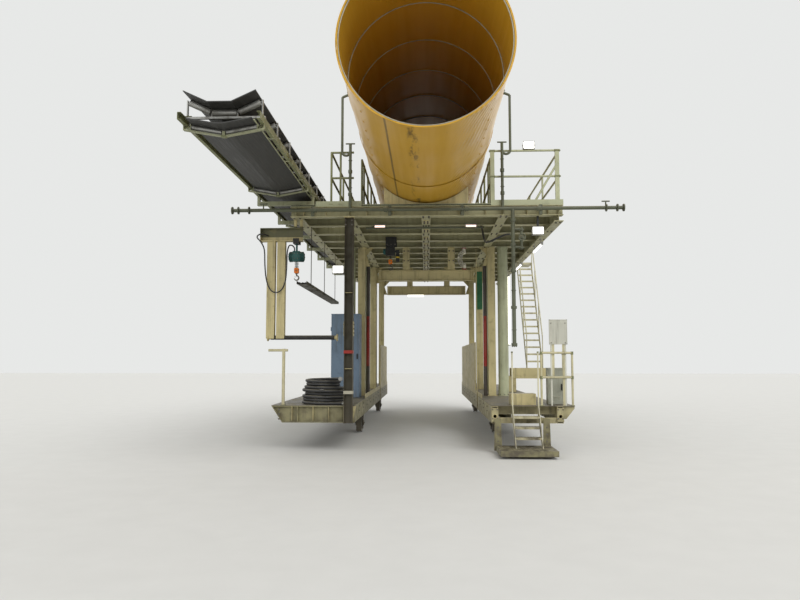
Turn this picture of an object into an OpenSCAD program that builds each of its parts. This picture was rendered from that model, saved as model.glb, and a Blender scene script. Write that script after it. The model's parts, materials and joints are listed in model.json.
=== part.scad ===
// Rear backup gantry of a tunnel boring machine: a railbound portal car that
// straddles the service track. It carries two side decks, an upper deck with
// the ventilation duct, a belt conveyor, a water spray arch, hoists and stairs.
// Inside the modules, y = 0 is the rear crossbeam and z = 0 is the rail top.

/* [Gantry] */
// Distance from one crossbeam to the next
bay = 950; // [900:10:1000]
// Bays between two portal frames
portal_bays = 4; // [4:1:4]
// Number of portal frames, the first one a portal spacing in from the rear
portals = 3; // [2:1:3]
// Height of the crossbeams' underside above the rail
portal_h = 4510; // [4400:10:4600]
// Half the width of the upper deck
upper_half_w = 2640; // [2600:10:2700]

/* [Lower decks] */
// Height of the deck floors above the rail
deck_h = 860; // [800:10:900]
// Depth of the deck frames
frame_h = 320; // [280:10:340]
// Thickness of the deck floor plates
floor_t = 10; // [8:1:14]
// Inner edge of the left deck, from the track's centre
left_in = 1390; // [1360:10:1400]
// Outer edge of the left deck at the floor
left_out = 3000; // [2960:10:3040]
// Outer edge of the left deck at the frame's underside
left_out_low = 2790; // [2760:10:2820]
// Inner edge of the right deck, from the track's centre
right_in = 1240; // [1220:10:1260]
// Outer edge of the right deck
right_out = 2600; // [2560:10:2640]
// Outer edge of the rear balcony on the right deck
balcony_out = 2820; // [2800:10:2860]

/* [Wheels] */
// Wheel centre from the track's centre
wheel_x = 1635; // [1620:5:1650]
// Tread radius of a wheel
tread_r = 200; // [180:5:210]
// Height of the wheel flanges over the tread
flange_h = 25; // [20:1:28]
// Radius of a wheel's axle
axle_r = 30; // [25:1:35]
// Bay at which the rear wheels sit
rear_wheel_bay = 4; // [4:1:4]
// Bay at which the front wheels sit
front_wheel_bay = 11; // [10:1:11]

/* [Beams] */
// Depth of the crossbeams
cross_h = 200; // [180:10:220]
// Width of the crossbeams' flanges
cross_w = 180; // [160:10:200]
// Width of the left edge beam of the upper deck
edge_left_w = 210; // [190:10:230]
// Width of the right edge beam of the upper deck
edge_right_w = 180; // [160:10:200]
// Depth of the right edge beam of the upper deck
edge_right_h = 320; // [280:10:340]
// Place of the inner lengthwise beams of the upper deck
inner_beam_x = 1500; // [1480:10:1520]
// Thickness of the upper deck's grating
grating_t = 40; // [30:1:45]
// Height of the toe boards over the upper frame
toe_h = 105; // [95:5:120]
// Thickness of the toe boards
toe_t = 10; // [8:1:12]

/* [Portal posts] */
// Place of the square portal posts
post_x = 1598; // [1590:1:1610]
// Width of the square portal posts
post_w = 180; // [160:10:190]
// Wall of the square portal posts
post_wall = 10; // [8:1:14]
// Place of the round columns
column_x = 1880; // [1860:10:1900]
// Radius of the round columns
column_r = 125; // [110:5:130]
// Place of the rear H-section post
rear_post_x = 1495; // [1485:5:1505]

/* [Ventilation duct] */
// Radius of the duct
duct_r = 1200; // [1150:10:1210]
// Thickness of the duct's wall with its hoops
duct_wall = 20; // [12:1:30]
// Length of the duct behind the rear crossbeam
duct_tail = 4500; // [3000:100:5000]
// Length of the duct past the front crossbeam
duct_nose = 400; // [200:50:500]
// Height of a saddle below the duct's lowest line
saddle_h = 25; // [20:1:40]

/* [Belt conveyor] */
// Centre of the conveyor outside the upper deck's left edge
belt_out = 110; // [100:5:120]
// Distance between the outer faces of its stringers
conveyor_w = 1120; // [1080:10:1140]
// Underside of the stringers over the upper deck
stringer_rise = 180; // [170:5:210]
// Distance between the return idler brackets
bracket_pitch = 3500; // [3400:50:3600]
// Length of the conveyor behind the rear crossbeam
belt_tail = 4500; // [4400:50:5000]
// Thickness of the belt
belt_t = 14; // [12:1:18]

/* [Spray pipes] */
// Radius of the spray pipes
spray_r = 35; // [30:1:38]
// Half the length of the crosswise spray tube
spray_half_l = 3780; // [3750:10:3820]
// Height of the crosswise spray tube over the crossbeams' underside
spray_rise = 120; // [110:5:130]
// Radius of the tunnel lining that the spray arch follows
lining_r = 4100; // [4080:10:4120]
// Height of the tunnel's axis above the rail
tunnel_axis_z = 3170; // [3160:10:3180]

/* [Stairs] */
// Width of the rear stair between its stringers
stair_w = 470; // [440:10:500]
// Centre of the rear stair, right of the track's centre
stair_x = 1875; // [1860:5:1890]
// Height of one step of the rear stair
riser = 185; // [175:5:190]
// Height of the foot platform's top above the rail
foot_z = 120; // [110:5:140]
// Length of the foot platform behind the deck
foot_l = 900; // [800:50:1000]
// Height of the landing of the upper stair above the rail
landing_z = 1500; // [1450:10:1550]
// Width of the upper stair
upper_stair_w = 430; // [400:10:450]
// Centre of the upper stair, right of the track's centre
upper_stair_x = 3060; // [3040:10:3080]

/* [Rails] */
// Height of the guard rails over the lower decks
rail_h = 1030; // [1000:10:1100]
// Height of the guard rails over the upper deck
upper_rail_h = 1060; // [1000:10:1100]
// Radius of the guard rails' tubes
tube_r = 21; // [17:1:24]

/* [Tow links] */
// Length of a tow link from pin to eye
tow_l = 900; // [800:50:1000]
// Radius of the tow link's eye bore
tow_eye_r = 25; // [20:1:30]

/* [Hidden] */
$fn = 48;

// Colours of the painted and bare surfaces
cream = [0.80, 0.74, 0.52];
grey_green = [0.62, 0.66, 0.55];
pipe_green = [0.25, 0.29, 0.24];
dark_brown = [0.24, 0.21, 0.16];
steel = [0.45, 0.45, 0.43];
duct_yellow = [0.80, 0.60, 0.18];
belt_black = [0.13, 0.13, 0.13];

// Clearances: a running fit, a seat that doesn't overlap, and a moving gap
fit = 0.05;
seat = 0.3;
moving_gap = 6;

// Lengthwise places
bays = portal_bays * portals;
deck_y0 = cross_w / 2;
deck_y1 = bays * bay + cross_w / 2;
deck_l = deck_y1 - deck_y0;
portal_y = [for (i = [1:portals]) i * portal_bays * bay];
wheel_y = [rear_wheel_bay * bay, front_wheel_bay * bay];

// Heights
frame_top = deck_h - floor_t;
frame_z = frame_top - frame_h;
upper_top = portal_h + cross_h;
upper_floor_z = upper_top + grating_t;
duct_z = upper_floor_z + saddle_h + duct_r;
stringer_z = upper_floor_z + stringer_rise;
spray_z = portal_h + spray_rise;
wedge_z = portal_h - 470;
belt_x = upper_half_w + belt_out;

// Tow links on upright pins at the front of both decks
tow_x = [-1690, 1690];
tow_z = frame_z + 160;
tow_pin_y = deck_y1 + 85;
tow_eye_t = 40;
tow_head_r = 70;
tow_side_gap = 1;

// The part's origin is under the middle of its length
part_y0 = -duct_tail;
part_y1 = tow_pin_y + tow_l + tow_head_r;
rear_y = -(part_y0 + part_y1) / 2;

module place() {
    translate([0, rear_y, flange_h]) children();
}

// Sections stand on y = 0 and are centred on x = 0
module i_section(h, w, flange_t, web_t) {
    polygon([
        [-w / 2, 0], [w / 2, 0], [w / 2, flange_t], [web_t / 2, flange_t],
        [web_t / 2, h - flange_t], [w / 2, h - flange_t], [w / 2, h], [-w / 2, h],
        [-w / 2, h - flange_t], [-web_t / 2, h - flange_t], [-web_t / 2, flange_t], [-w / 2, flange_t]
    ]);
}

// A channel with its back on x = 0 and its flanges towards +x
module c_section(h, w, t) {
    polygon([[0, 0], [w, 0], [w, t], [t, t], [t, h - t], [w, h - t], [w, h], [0, h]]);
}

// A section run along Y from y0, with its foot at height z
module beam_y(x, z, y0, l) {
    translate([x, y0 + l, z]) rotate([90, 0, 0]) linear_extrude(l) children();
}

// A section run along X from x0: its own x is Y and its own y is Z
module beam_x(y, z, x0, l) {
    translate([x0, y, z]) rotate([90, 0, 90]) linear_extrude(l) children();
}

module block(x0, x1, y0, y1, z0, z1) {
    translate([x0, y0, z0]) cube([x1 - x0, y1 - y0, z1 - z0]);
}

module tube_between(a, b, r) {
    d = b - a;
    l = norm(d);
    translate(a) rotate([0, acos(d[2] / l), atan2(d[1], d[0])]) cylinder(r = r, h = l);
}

// Lower decks

channel_w = 100;
channel_t = 12;
wheel_beam_w = 200;
member_h = 160;
end_w = 100;
end_rib_x = 2490;
skirt_t = 20;

module left_deck_frame() {
    color(cream) place() mirror([1, 0, 0]) {
        beam_y(left_in, frame_z, deck_y0, deck_l) c_section(frame_h, channel_w, channel_t);
        beam_y(wheel_x, frame_z, deck_y0 + 50, deck_l - 100) i_section(frame_h, wheel_beam_w, 16, 12);
        beam_y(0, 0, deck_y0, deck_l) polygon([
            [left_out - skirt_t, frame_top], [left_out, frame_top],
            [left_out_low, frame_z], [left_out_low - skirt_t, frame_z]
        ]);
        for (i = [1:bays - 1]) {
            beam_x(deck_y0 + i * deck_l / bays, frame_top - member_h, left_in + channel_t,
                left_out - 115 - left_in - channel_t) i_section(member_h, 90, 10, 7);
        }
        for (end = [0, 1]) left_end_channel(end);
        block(-tow_x[0] - 90, -tow_x[0] + 90, deck_y1 - 61, deck_y1, frame_z + 15, frame_top - 15);
        block(end_rib_x - 8, end_rib_x + 8, deck_y0, deck_y0 + 61, frame_z + 15, frame_top - 15);
        tow_ears(-tow_x[0]);
    }
}

// Two ears and an upright pin hold a tow link
module tow_ears(x) {
    for (side = [-1, 1]) {
        z = tow_z + side * (tow_eye_t / 2 + tow_side_gap + 10);
        block(x - 60, x + 60, deck_y1 - 1, tow_pin_y, z - 10, z + 10);
        translate([x, tow_pin_y, z - 10]) cylinder(r = 60, h = 20);
    }
    translate([x, tow_pin_y, tow_z - 60]) cylinder(r = tow_eye_r - fit, h = 120);
}

// The end channels follow the lining with a slanted outer end
module left_end_channel(end) {
    y0 = end == 0 ? deck_y0 : deck_y1 - end_w;
    pocket_y0 = end == 0 ? deck_y0 - 1 : deck_y1 - end_w + 40;
    difference() {
        beam_y(0, 0, y0, end_w) polygon([
            [left_in, frame_z], [left_in, frame_top], [left_out, frame_top], [left_out_low, frame_z]
        ]);
        beam_y(0, 0, pocket_y0, end_w - 39) polygon([
            [left_in + 210, frame_z + 16], [left_in + 210, frame_top - 16],
            [left_out - 30, frame_top - 16], [left_out_low - 10, frame_z + 16]
        ]);
    }
}

module left_deck_floor() {
    color(steel) place()
        block(-left_out, -left_in, deck_y0, deck_y1, frame_top, deck_h);
}

lug_w = 130;
lug_t = 30;
lug_bore_r = 32;

module right_deck_frame() {
    color(cream) place() {
        for (x = [right_in, right_out - channel_w - 20]) {
            beam_y(x + 60, frame_z, deck_y0, deck_l) difference() {
                translate([-60, 0]) square([120, frame_h]);
                translate([-48, 12]) square([96, frame_h - 24]);
            }
            translate([x + 60, deck_y0 + lug_t, 0]) lug_plate();
        }
        beam_y(wheel_x, frame_z, deck_y0 + 200, deck_l - 200) i_section(frame_h, wheel_beam_w, 16, 12);
        for (i = [0:bays]) {
            y = i == 0 ? deck_y0 + 200 : i == bays ? deck_y1 - 45 : deck_y0 + i * deck_l / bays;
            beam_x(y, frame_top - member_h, right_in + 119, right_out - right_in - 238)
                i_section(member_h, 90, 10, 7);
        }
        for (y = [deck_y0 + 40, deck_y0 + 1000]) balcony_bracket(y);
        block(right_in + 119, right_out - 119, deck_y0, deck_y0 + 12, frame_z, frame_z + 110);
        block(right_in + 119, right_out - 119, deck_y1 - 20, deck_y1, frame_z, frame_top);
        tow_ears(tow_x[1]);
    }
}

module lug_plate() {
    translate([-lug_w / 2, 0, frame_z + 30]) rotate([90, 0, 0]) difference() {
        linear_extrude(lug_t + 30) square([lug_w, frame_h - 60]);
        translate([lug_w / 2, 100, -1]) cylinder(r = lug_bore_r, h = lug_t + 32);
    }
}

module balcony_bracket(y) {
    beam_y(0, 0, y, 20) polygon([
        [right_out, frame_top], [balcony_out, frame_top], [balcony_out, frame_top - 40],
        [right_out + 60, frame_top - 240], [right_out, frame_top - 240]
    ]);
}

module right_deck_floor() {
    color(steel) place() {
        block(right_in, right_out, deck_y0, deck_y1, frame_top, deck_h);
        block(right_out, balcony_out, deck_y0, deck_y0 + 1060, frame_top, deck_h);
    }
}

// Wheels and the boxes that carry them

cheek_t = 20;
wheel_half_w = 55;
hub_half_w = 60;
cheek_gap = 65;
box_l = 460;
top_plate_t = 20;

module wheel_box() {
    for (side = [-1, 1]) {
        x0 = side > 0 ? cheek_gap : -cheek_gap - cheek_t;
        difference() {
            translate([x0, 0, 0]) rotate([90, 0, 90]) linear_extrude(cheek_t) {
                polygon([
                    [-box_l / 2, frame_z - top_plate_t], [box_l / 2, frame_z - top_plate_t],
                    [80, tread_r - 40], [-80, tread_r - 40]
                ]);
                translate([0, tread_r]) circle(r = 85);
            }
            translate([x0 - 1, 0, tread_r]) rotate([0, 90, 0]) cylinder(r = axle_r + fit, h = cheek_t + 2);
        }
    }
    block(-110, 110, -box_l / 2, box_l / 2, frame_z - top_plate_t, frame_z);
    for (side = [-1, 1]) rail_guard(side);
}

// A bent plate at each end of the box keeps the rail clear
module rail_guard(side) {
    y = side * (box_l / 2 + 60);
    block(-60, 60, y - 6, y + 6, 30, frame_z);
    block(-60, 60, min(y, side * (box_l / 2 - 5)), max(y, side * (box_l / 2 - 5)),
        frame_z - top_plate_t, frame_z);
}

module wheel_boxes_left() {
    color(dark_brown) place() for (y = wheel_y) translate([-wheel_x, y, 0]) wheel_box();
}

module wheel_boxes_right() {
    color(dark_brown) place() for (y = wheel_y) translate([wheel_x, y, 0]) wheel_box();
}

// A double-flanged wheel fast on its axle
module rail_wheel(x, y) {
    color(steel) place() translate([x, y, tread_r]) rotate([0, 90, 0]) {
        rotate_extrude() polygon([
            [0, -hub_half_w], [70, -hub_half_w], [75, -25], [tread_r - 40, -22],
            [tread_r - 32, -wheel_half_w], [tread_r + flange_h - 6, -wheel_half_w],
            [tread_r + flange_h, -wheel_half_w + 8], [tread_r + flange_h - 4, -wheel_half_w + 16],
            [tread_r, -35], [tread_r, 35], [tread_r + flange_h - 4, wheel_half_w - 16],
            [tread_r + flange_h, wheel_half_w - 8], [tread_r + flange_h - 6, wheel_half_w],
            [tread_r - 32, wheel_half_w], [tread_r - 40, 22], [75, 25], [70, hub_half_w], [0, hub_half_w]
        ]);
        axle_half_l = cheek_gap + cheek_t + 20;
        translate([0, 0, -axle_half_l]) cylinder(r = axle_r, h = 2 * axle_half_l);
    }
}

module wheel_rear_left() { rail_wheel(-wheel_x, wheel_y[0]); }
module wheel_rear_right() { rail_wheel(wheel_x, wheel_y[0]); }
module wheel_front_left() { rail_wheel(-wheel_x, wheel_y[1]); }
module wheel_front_right() { rail_wheel(wheel_x, wheel_y[1]); }

// Portal posts

base_t = 20;
wedge_w = 115;
wedge_h = 330;

module square_post(x, y) {
    translate([x, y, deck_h]) linear_extrude(base_t) square(post_w + 40, center = true);
    translate([x, y, deck_h + base_t]) linear_extrude(portal_h - deck_h - base_t) difference() {
        square(post_w, center = true);
        square(post_w - 2 * post_wall, center = true);
    }
}

// A wedge on the passage side holds the top of a standpipe
module post_wedge(y) {
    beam_y(0, 0, y - 40, 80) polygon([
        [post_x - post_w / 2, wedge_z], [post_x - post_w / 2 - wedge_w, wedge_z],
        [post_x - post_w / 2, wedge_z + wedge_h]
    ]);
}

module posts_left() {
    color(cream) place() mirror([1, 0, 0]) for (y = portal_y) {
        square_post(post_x, y);
        post_wedge(y);
    }
}

module posts_right() {
    color(cream) place() for (y = portal_y) {
        square_post(post_x, y);
        post_wedge(y);
    }
}

module round_columns() {
    color(grey_green) place() for (y = portal_y, side = [-1, 1]) translate([side * column_x, y, deck_h]) {
        cylinder(r = column_r, h = portal_h - deck_h);
        cylinder(r = column_r + 25, h = base_t);
        translate([0, 0, portal_h - deck_h - 60]) cylinder(r = column_r + 12, h = 60);
    }
}

hung_z0 = portal_h - 830;
hung_z1 = hung_z0 + 260;
hung_half_w = 1180;
hanger_x = [-495, 620];
hanger_w = 170;

module hung_frames() {
    color(cream) place() for (i = [0, 1]) translate([0, portal_y[i], 0]) {
        for (x = hanger_x) block(x - hanger_w / 2, x + hanger_w / 2, -40, 40, hung_z1, portal_h);
        beam_x(0, hung_z0, -hung_half_w, 2 * hung_half_w) i_section(hung_z1 - hung_z0, 140, 12, 8);
    }
}

module rear_post() {
    color(dark_brown) place() translate([-rear_post_x, 0, frame_z]) {
        linear_extrude(portal_h - frame_z) rotate(90) translate([0, -85])
            i_section(170, cross_w, 14, 10);
    }
}

// Upper deck

module upper_frame() {
    color(cream) place() {
        for (i = [0:bays]) beam_x(i * bay, portal_h, -upper_half_w + 1, 2 * upper_half_w - 2)
            i_section(cross_h, cross_w, 15, 9);
        for (x = [-inner_beam_x, 0, inner_beam_x]) beam_y(x, portal_h, deck_y0 - cross_w, deck_y1)
            i_section(cross_h, cross_w, 15, 9);
        beam_y(-upper_half_w + edge_left_w / 2, portal_h, deck_y0 - cross_w, deck_y1)
            i_section(cross_h, edge_left_w, 15, 9);
        beam_y(upper_half_w - edge_right_w / 2, upper_top - edge_right_h, deck_y0 - cross_w, deck_y1)
            i_section(edge_right_h, edge_right_w, 15, 9);
    }
}

module upper_floor() {
    y0 = deck_y0 - cross_w;
    color(steel) place() {
        block(-upper_half_w, upper_half_w, y0, deck_y1, upper_floor_z - floor_t, upper_floor_z);
        for (i = [0:bays]) block(-upper_half_w, upper_half_w, i * bay - 40, i * bay + 40,
            upper_top, upper_floor_z - floor_t);
        for (i = [0:bays - 1], x = [-2040, -800, 800, 2040]) block(x - 20, x + 20, i * bay + 39,
            (i + 1) * bay - 39, upper_top, upper_floor_z - floor_t);
        block(upper_half_w - toe_t, upper_half_w, y0, deck_y1, upper_top, upper_top + toe_h);
        block(1250, upper_half_w - toe_t, y0, y0 + toe_t, upper_top, upper_top + toe_h);
        block(-2150, -1250, y0, y0 + toe_t, upper_top, upper_top + toe_h);
    }
}

cage_x = [1290, 2540];
mid_rail = 530;
rail_y0 = -50;
rail_post_bays = 2;

// The rear cage on the upper deck and the rail along the deck's side
module upper_rails() {
    top = upper_floor_z + upper_rail_h - tube_r;
    mid = upper_floor_z + mid_rail;
    x = upper_half_w - 60;
    for (px = cage_x) block(px - 40, px + 40, rail_y0 - 20, rail_y0 + 20, upper_floor_z, top);
    for (z = [mid, top]) {
        tube_between([cage_x[0] - 60, rail_y0, z], [x, rail_y0, z], tube_r);
        tube_between([x, rail_y0, z], [x, stair_top_y, z], tube_r);
        tube_between([x, stair_top_y + gate_w, z], [x, bays * bay, z], tube_r);
    }
    post_y = concat([for (i = [rail_post_bays:rail_post_bays:bays]) i * bay], [stair_top_y, stair_top_y + gate_w]);
    for (y = post_y) translate([x, y, upper_floor_z]) cylinder(r = tube_r, h = top - upper_floor_z);
}

module upper_rails_right() {
    top = upper_floor_z + upper_rail_h - tube_r;
    color(grey_green) place() {
        upper_rails();
        tube_between([cage_x[1], rail_y0, top - 260], [cage_x[0] + 800, rail_y0, upper_floor_z + 10], tube_r);
    }
}

// The left cage is short, because the conveyor passes over the deck's left edge
left_rail_x = [1410, 1850];

module upper_rails_left() {
    top = upper_floor_z + upper_rail_h - tube_r;
    mid = upper_floor_z + mid_rail;
    color(grey_green) place() mirror([1, 0, 0]) {
        for (z = [mid, top]) {
            tube_between([left_rail_x[0], rail_y0, z], [left_rail_x[1], rail_y0, z], tube_r);
            tube_between([left_rail_x[1], rail_y0, z], [left_rail_x[1], bays * bay, z], tube_r);
        }
        for (i = [0:rail_post_bays:bays]) translate([left_rail_x[1], i == 0 ? rail_y0 : i * bay, upper_floor_z])
            cylinder(r = tube_r, h = top - upper_floor_z);
        translate([left_rail_x[0] + 260, rail_y0, upper_floor_z]) cylinder(r = tube_r, h = top - upper_floor_z);
    }
}

// Rails along both sides of the duct, with a post at each crossbeam
duct_rail_x = 1300;

module duct_rails() {
    top = upper_floor_z + upper_rail_h - tube_r;
    mid = upper_floor_z + mid_rail;
    color(grey_green) place() for (side = [-1, 1]) {
        x = side * duct_rail_x;
        for (z = [mid, top]) tube_between([x, bay / 2, z], [x, bays * bay, z], tube_r);
        for (y = concat([bay / 2], [for (i = [1:bays]) i * bay])) translate([x, y, upper_floor_z])
            cylinder(r = tube_r, h = top - upper_floor_z);
    }
}

saddle_w = 60;
saddle_half_l = 820;

module duct_cradle() {
    color(cream) place() for (i = [0:rail_post_bays:bays]) translate([0, i * bay, 0]) {
        difference() {
            block(-saddle_half_l, saddle_half_l, -saddle_w / 2, saddle_w / 2,
                upper_floor_z, upper_floor_z + saddle_h + 330);
            translate([0, 0, duct_z]) rotate([90, 0, 0])
                cylinder(r = duct_r + seat, h = saddle_w + 2, center = true, $fn = 360);
        }
    }
}

module duct() {
    color(duct_yellow) place() translate([0, part_y0, duct_z]) rotate([-90, 0, 0]) difference() {
        cylinder(r = duct_r, h = duct_tail + deck_y1 + duct_nose, $fn = 96);
        translate([0, 0, -1]) cylinder(r = duct_r - duct_wall, h = duct_tail + deck_y1 + duct_nose + 2, $fn = 96);
    }
}

// Belt conveyor

stringer_h = 100;
arm_h = 80;
bracket_n = 5;
bracket_y0 = -4230;
roll_r = 45;

// The two long channels that carry the idlers
module conveyor_stringers() {
    half = conveyor_w / 2;
    color(grey_green) place() translate([-belt_x, 0, 0])
        for (side = [-1, 1]) mirror([side < 0 ? 1 : 0, 0, 0])
            beam_y(half, stringer_z, -belt_tail, belt_tail + deck_y1) mirror([1, 0, 0])
                c_section(stringer_h, 50, 6);
}

// Return brackets and the edge rail below the stringers, and the arms that stand on the upper deck
module conveyor_frame() {
    half = conveyor_w / 2;
    color(grey_green) place() translate([-belt_x, 0, 0]) {
        for (i = [0:bracket_n - 1]) translate([0, bracket_y0 + i * bracket_pitch, stringer_z])
            return_bracket(half);
        translate([edge_rail_x, -belt_tail, stringer_z - edge_rail_r - tie_t + 1]) rotate([-90, 0, 0])
            cylinder(r = edge_rail_r, h = belt_tail + deck_y1);
        for (i = [0:bracket_n * 3 - 1]) {
            y = bracket_y0 + (i + 0.5) * bracket_pitch / 3;
            if (y < deck_y1) block(edge_rail_x - 10, half, y - 25, y + 25, stringer_z - tie_t, stringer_z);
        }
        for (i = [0:2:bays]) translate([0, i * bay, 0]) {
            block(-half, half, -40, 40, upper_floor_z, upper_floor_z + arm_h);
            for (side = [-1, 1]) block(side * half - (side > 0 ? 50 : 0), side * half + (side < 0 ? 50 : 0),
                -40, 40, upper_floor_z + arm_h, stringer_z);
        }
    }
}

// A V-shaped return bracket under the belt, hung from both stringers, with
// plates that hold the ends of its two rolls
module return_bracket(half) {
    beam_y(0, 0, -30, 60) polygon([
        [-half, 0], [-half, v_end - 18], [0, v_mid - 18], [half, v_end - 18], [half, 0],
        [half - 12, 0], [half - 12, v_end], [0, v_mid], [-half + 12, v_end], [-half + 12, 0]
    ]);
    block(-v_plate, v_plate, -30, 30, v_mid - 5, v_mid + 60);
    for (side = [-1, 1]) block(side * v_roll_end - (side < 0 ? 12 : 0), side * v_roll_end + (side > 0 ? 12 : 0),
        -30, 30, v_end - 25, v_end + 60);
}

// A thin rail beside the belt's right edge, tied to the stringer
edge_rail_r = 10;
edge_rail_x = conveyor_w / 2 - 105 + 12 + edge_rail_r + seat;
tie_t = 8;

v_mid = -150;
v_end = -50;
v_plate = 20;
v_roll_end = conveyor_w / 2 - 105;
v_tilt = atan((v_end - v_mid) / (conveyor_w / 2 - 12));
v_roll_off = 45;
v_roll_r = 30;

// A roll of a return bracket, from its vertex to its outer plate
module return_roll() {
    l = (v_roll_end - v_plate) / cos(v_tilt);
    translate([v_plate, 0, v_mid + v_roll_off + v_plate * tan(v_tilt)]) rotate([0, 90 - v_tilt, 0]) {
        translate([0, 0, 12]) cylinder(r = v_roll_r, h = l - 24);
        translate([0, 0, 8 * tan(v_tilt)]) cylinder(r = 8, h = l - 16 * tan(v_tilt));
    }
}

trough = 25;
trough_half = 165;
carry_z = stringer_h + 130;

module conveyor_idlers() {
    color(steel) place() translate([-belt_x, 0, stringer_z]) {
        for (i = [-4:bays]) translate([0, i * bay - 400, stringer_h]) carry_idler();
        for (i = [0:bracket_n - 1], side = [0, 1]) translate([0, bracket_y0 + i * bracket_pitch, 0])
            mirror([side, 0, 0]) return_roll();
    }
}

// A three-roll troughing idler: its base bar with the middle roll, and a bracket with a wing roll on
// each end of the bar
module carry_idler() {
    half = conveyor_w / 2;
    wing_l = 320;
    bar_h = 30;
    shaft_r = 10;
    post_x = trough_half + 8;
    post_t = 12;
    off = roll_r + seat;
    axis_z = carry_z - stringer_h - off;
    block(-half, half, -20, 20, 0, bar_h);
    translate([-trough_half, 0, axis_z]) rotate([0, 90, 0]) {
        cylinder(r = roll_r, h = 2 * trough_half);
        translate([0, 0, -20]) cylinder(r = shaft_r, h = 2 * trough_half + 40);
    }
    wing_x = trough_half + off * sin(trough);
    wing_start = (post_x + post_t + seat + shaft_r * sin(trough) - wing_x) / cos(trough);
    for (side = [0, 1]) mirror([side, 0, 0]) {
        block(post_x, post_x + post_t, -20, 20, bar_h - 1, 105);
        block(half - 48, half - 32, -20, 20, bar_h + seat, 262);
        translate([wing_x, 0, carry_z - stringer_h - off * cos(trough)]) rotate([0, 90 - trough, 0]) {
            translate([0, 0, 12]) cylinder(r = roll_r, h = wing_l);
            translate([0, 0, wing_start])
                cylinder(r = shaft_r, h = (half - 40 - wing_x) / cos(trough) - wing_start);
        }
    }
}

// The return strand lies in the V brackets and the carrying strand in the troughs
module conveyor_belt() {
    half = conveyor_w / 2 - 70;
    low_half = v_roll_end - 12;
    flat = 60;
    low = v_mid + v_roll_off + (v_roll_r + seat) / cos(v_tilt);
    rise = (low_half - flat) * tan(v_tilt);
    top = carry_z;
    wing = (half - trough_half) * tan(trough);
    z_flat = low + flat * tan(v_tilt);
    color(belt_black) place() translate([-belt_x, 0, 0]) {
        beam_y(0, stringer_z, -belt_tail, belt_tail + deck_y1) polygon([
            [-low_half, z_flat + rise], [-flat, z_flat], [flat, z_flat], [low_half, z_flat + rise],
            [low_half, z_flat + rise + belt_t], [flat, z_flat + belt_t], [-flat, z_flat + belt_t],
            [-low_half, z_flat + rise + belt_t]
        ]);
        beam_y(0, stringer_z, -belt_tail, belt_tail + deck_y1) polygon([
            [-half, top + wing], [-trough_half, top], [trough_half, top], [half, top + wing],
            [half, top + wing + belt_t], [trough_half - 3, top + belt_t], [-trough_half + 3, top + belt_t],
            [-half, top + wing + belt_t]
        ]);
    }
}

// Water spray pipework

spray_y = -cross_w / 2 - 25 - spray_r;
arch_y = spray_y;
arch_r = lining_r - 60;
arch_leg_x = 1630;
riser_x = 1470;
drop_x = 1660;
drop_z0 = 2000;
clamp_x = [-2200, -700, 700, 2200];
arch_pipe_r = spray_r * 0.7;
riser_top = 5920;
bend_z = 5780;
spool_at = [0, 120, 330];
tee_x = [-3160, 3430];
drop_joint_z = [drop_z0, drop_z0 + 700, spray_z - 1230, spray_z - 730, spray_z - 250];
valve_x = 1820;
valve_z = [spray_z - 750, spray_z - 400];
stub_z = spray_z - 500;

// A pipe under the second crossbeam that feeds the hose
module hose_line() {
    y = bay - cross_w / 2 + 60;
    z = portal_h - 39;
    for (x = [-1100, 0, 1000]) block(x - 15, x + 15, y - 30, y + 30, z, portal_h);
    translate([-1250, y, z]) rotate([0, 90, 0]) cylinder(r = 22, h = 2450);
    translate([1140, 850 + seat, z]) rotate([-90, 0, 0]) cylinder(r = 22, h = y - 850);
}

// A hand valve on a branch beside the drop pipe
module side_valve() {
    for (z = valve_z) {
        translate([drop_x, spray_y, z]) rotate([0, 90, 0]) cylinder(r = 24, h = valve_x - drop_x);
        translate([valve_x, spray_y, z - 24]) cylinder(r = 52, h = 20);
    }
    translate([valve_x, spray_y, valve_z[0] - 40]) cylinder(r = 26, h = valve_z[1] - valve_z[0] + 80);
    translate([valve_x, spray_y, (valve_z[0] + valve_z[1]) / 2]) {
        sphere(r = 58);
        rotate([90, 0, 0]) cylinder(r = 12, h = 120);
        translate([0, -112, 0]) rotate([90, 0, 0]) rotate_extrude() translate([62, 0]) circle(r = 9, $fn = 16);
        translate([0, -112, 0]) rotate([90, 0, 90]) translate([0, 0, -62]) cylinder(r = 6, h = 124);
    }
}

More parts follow.
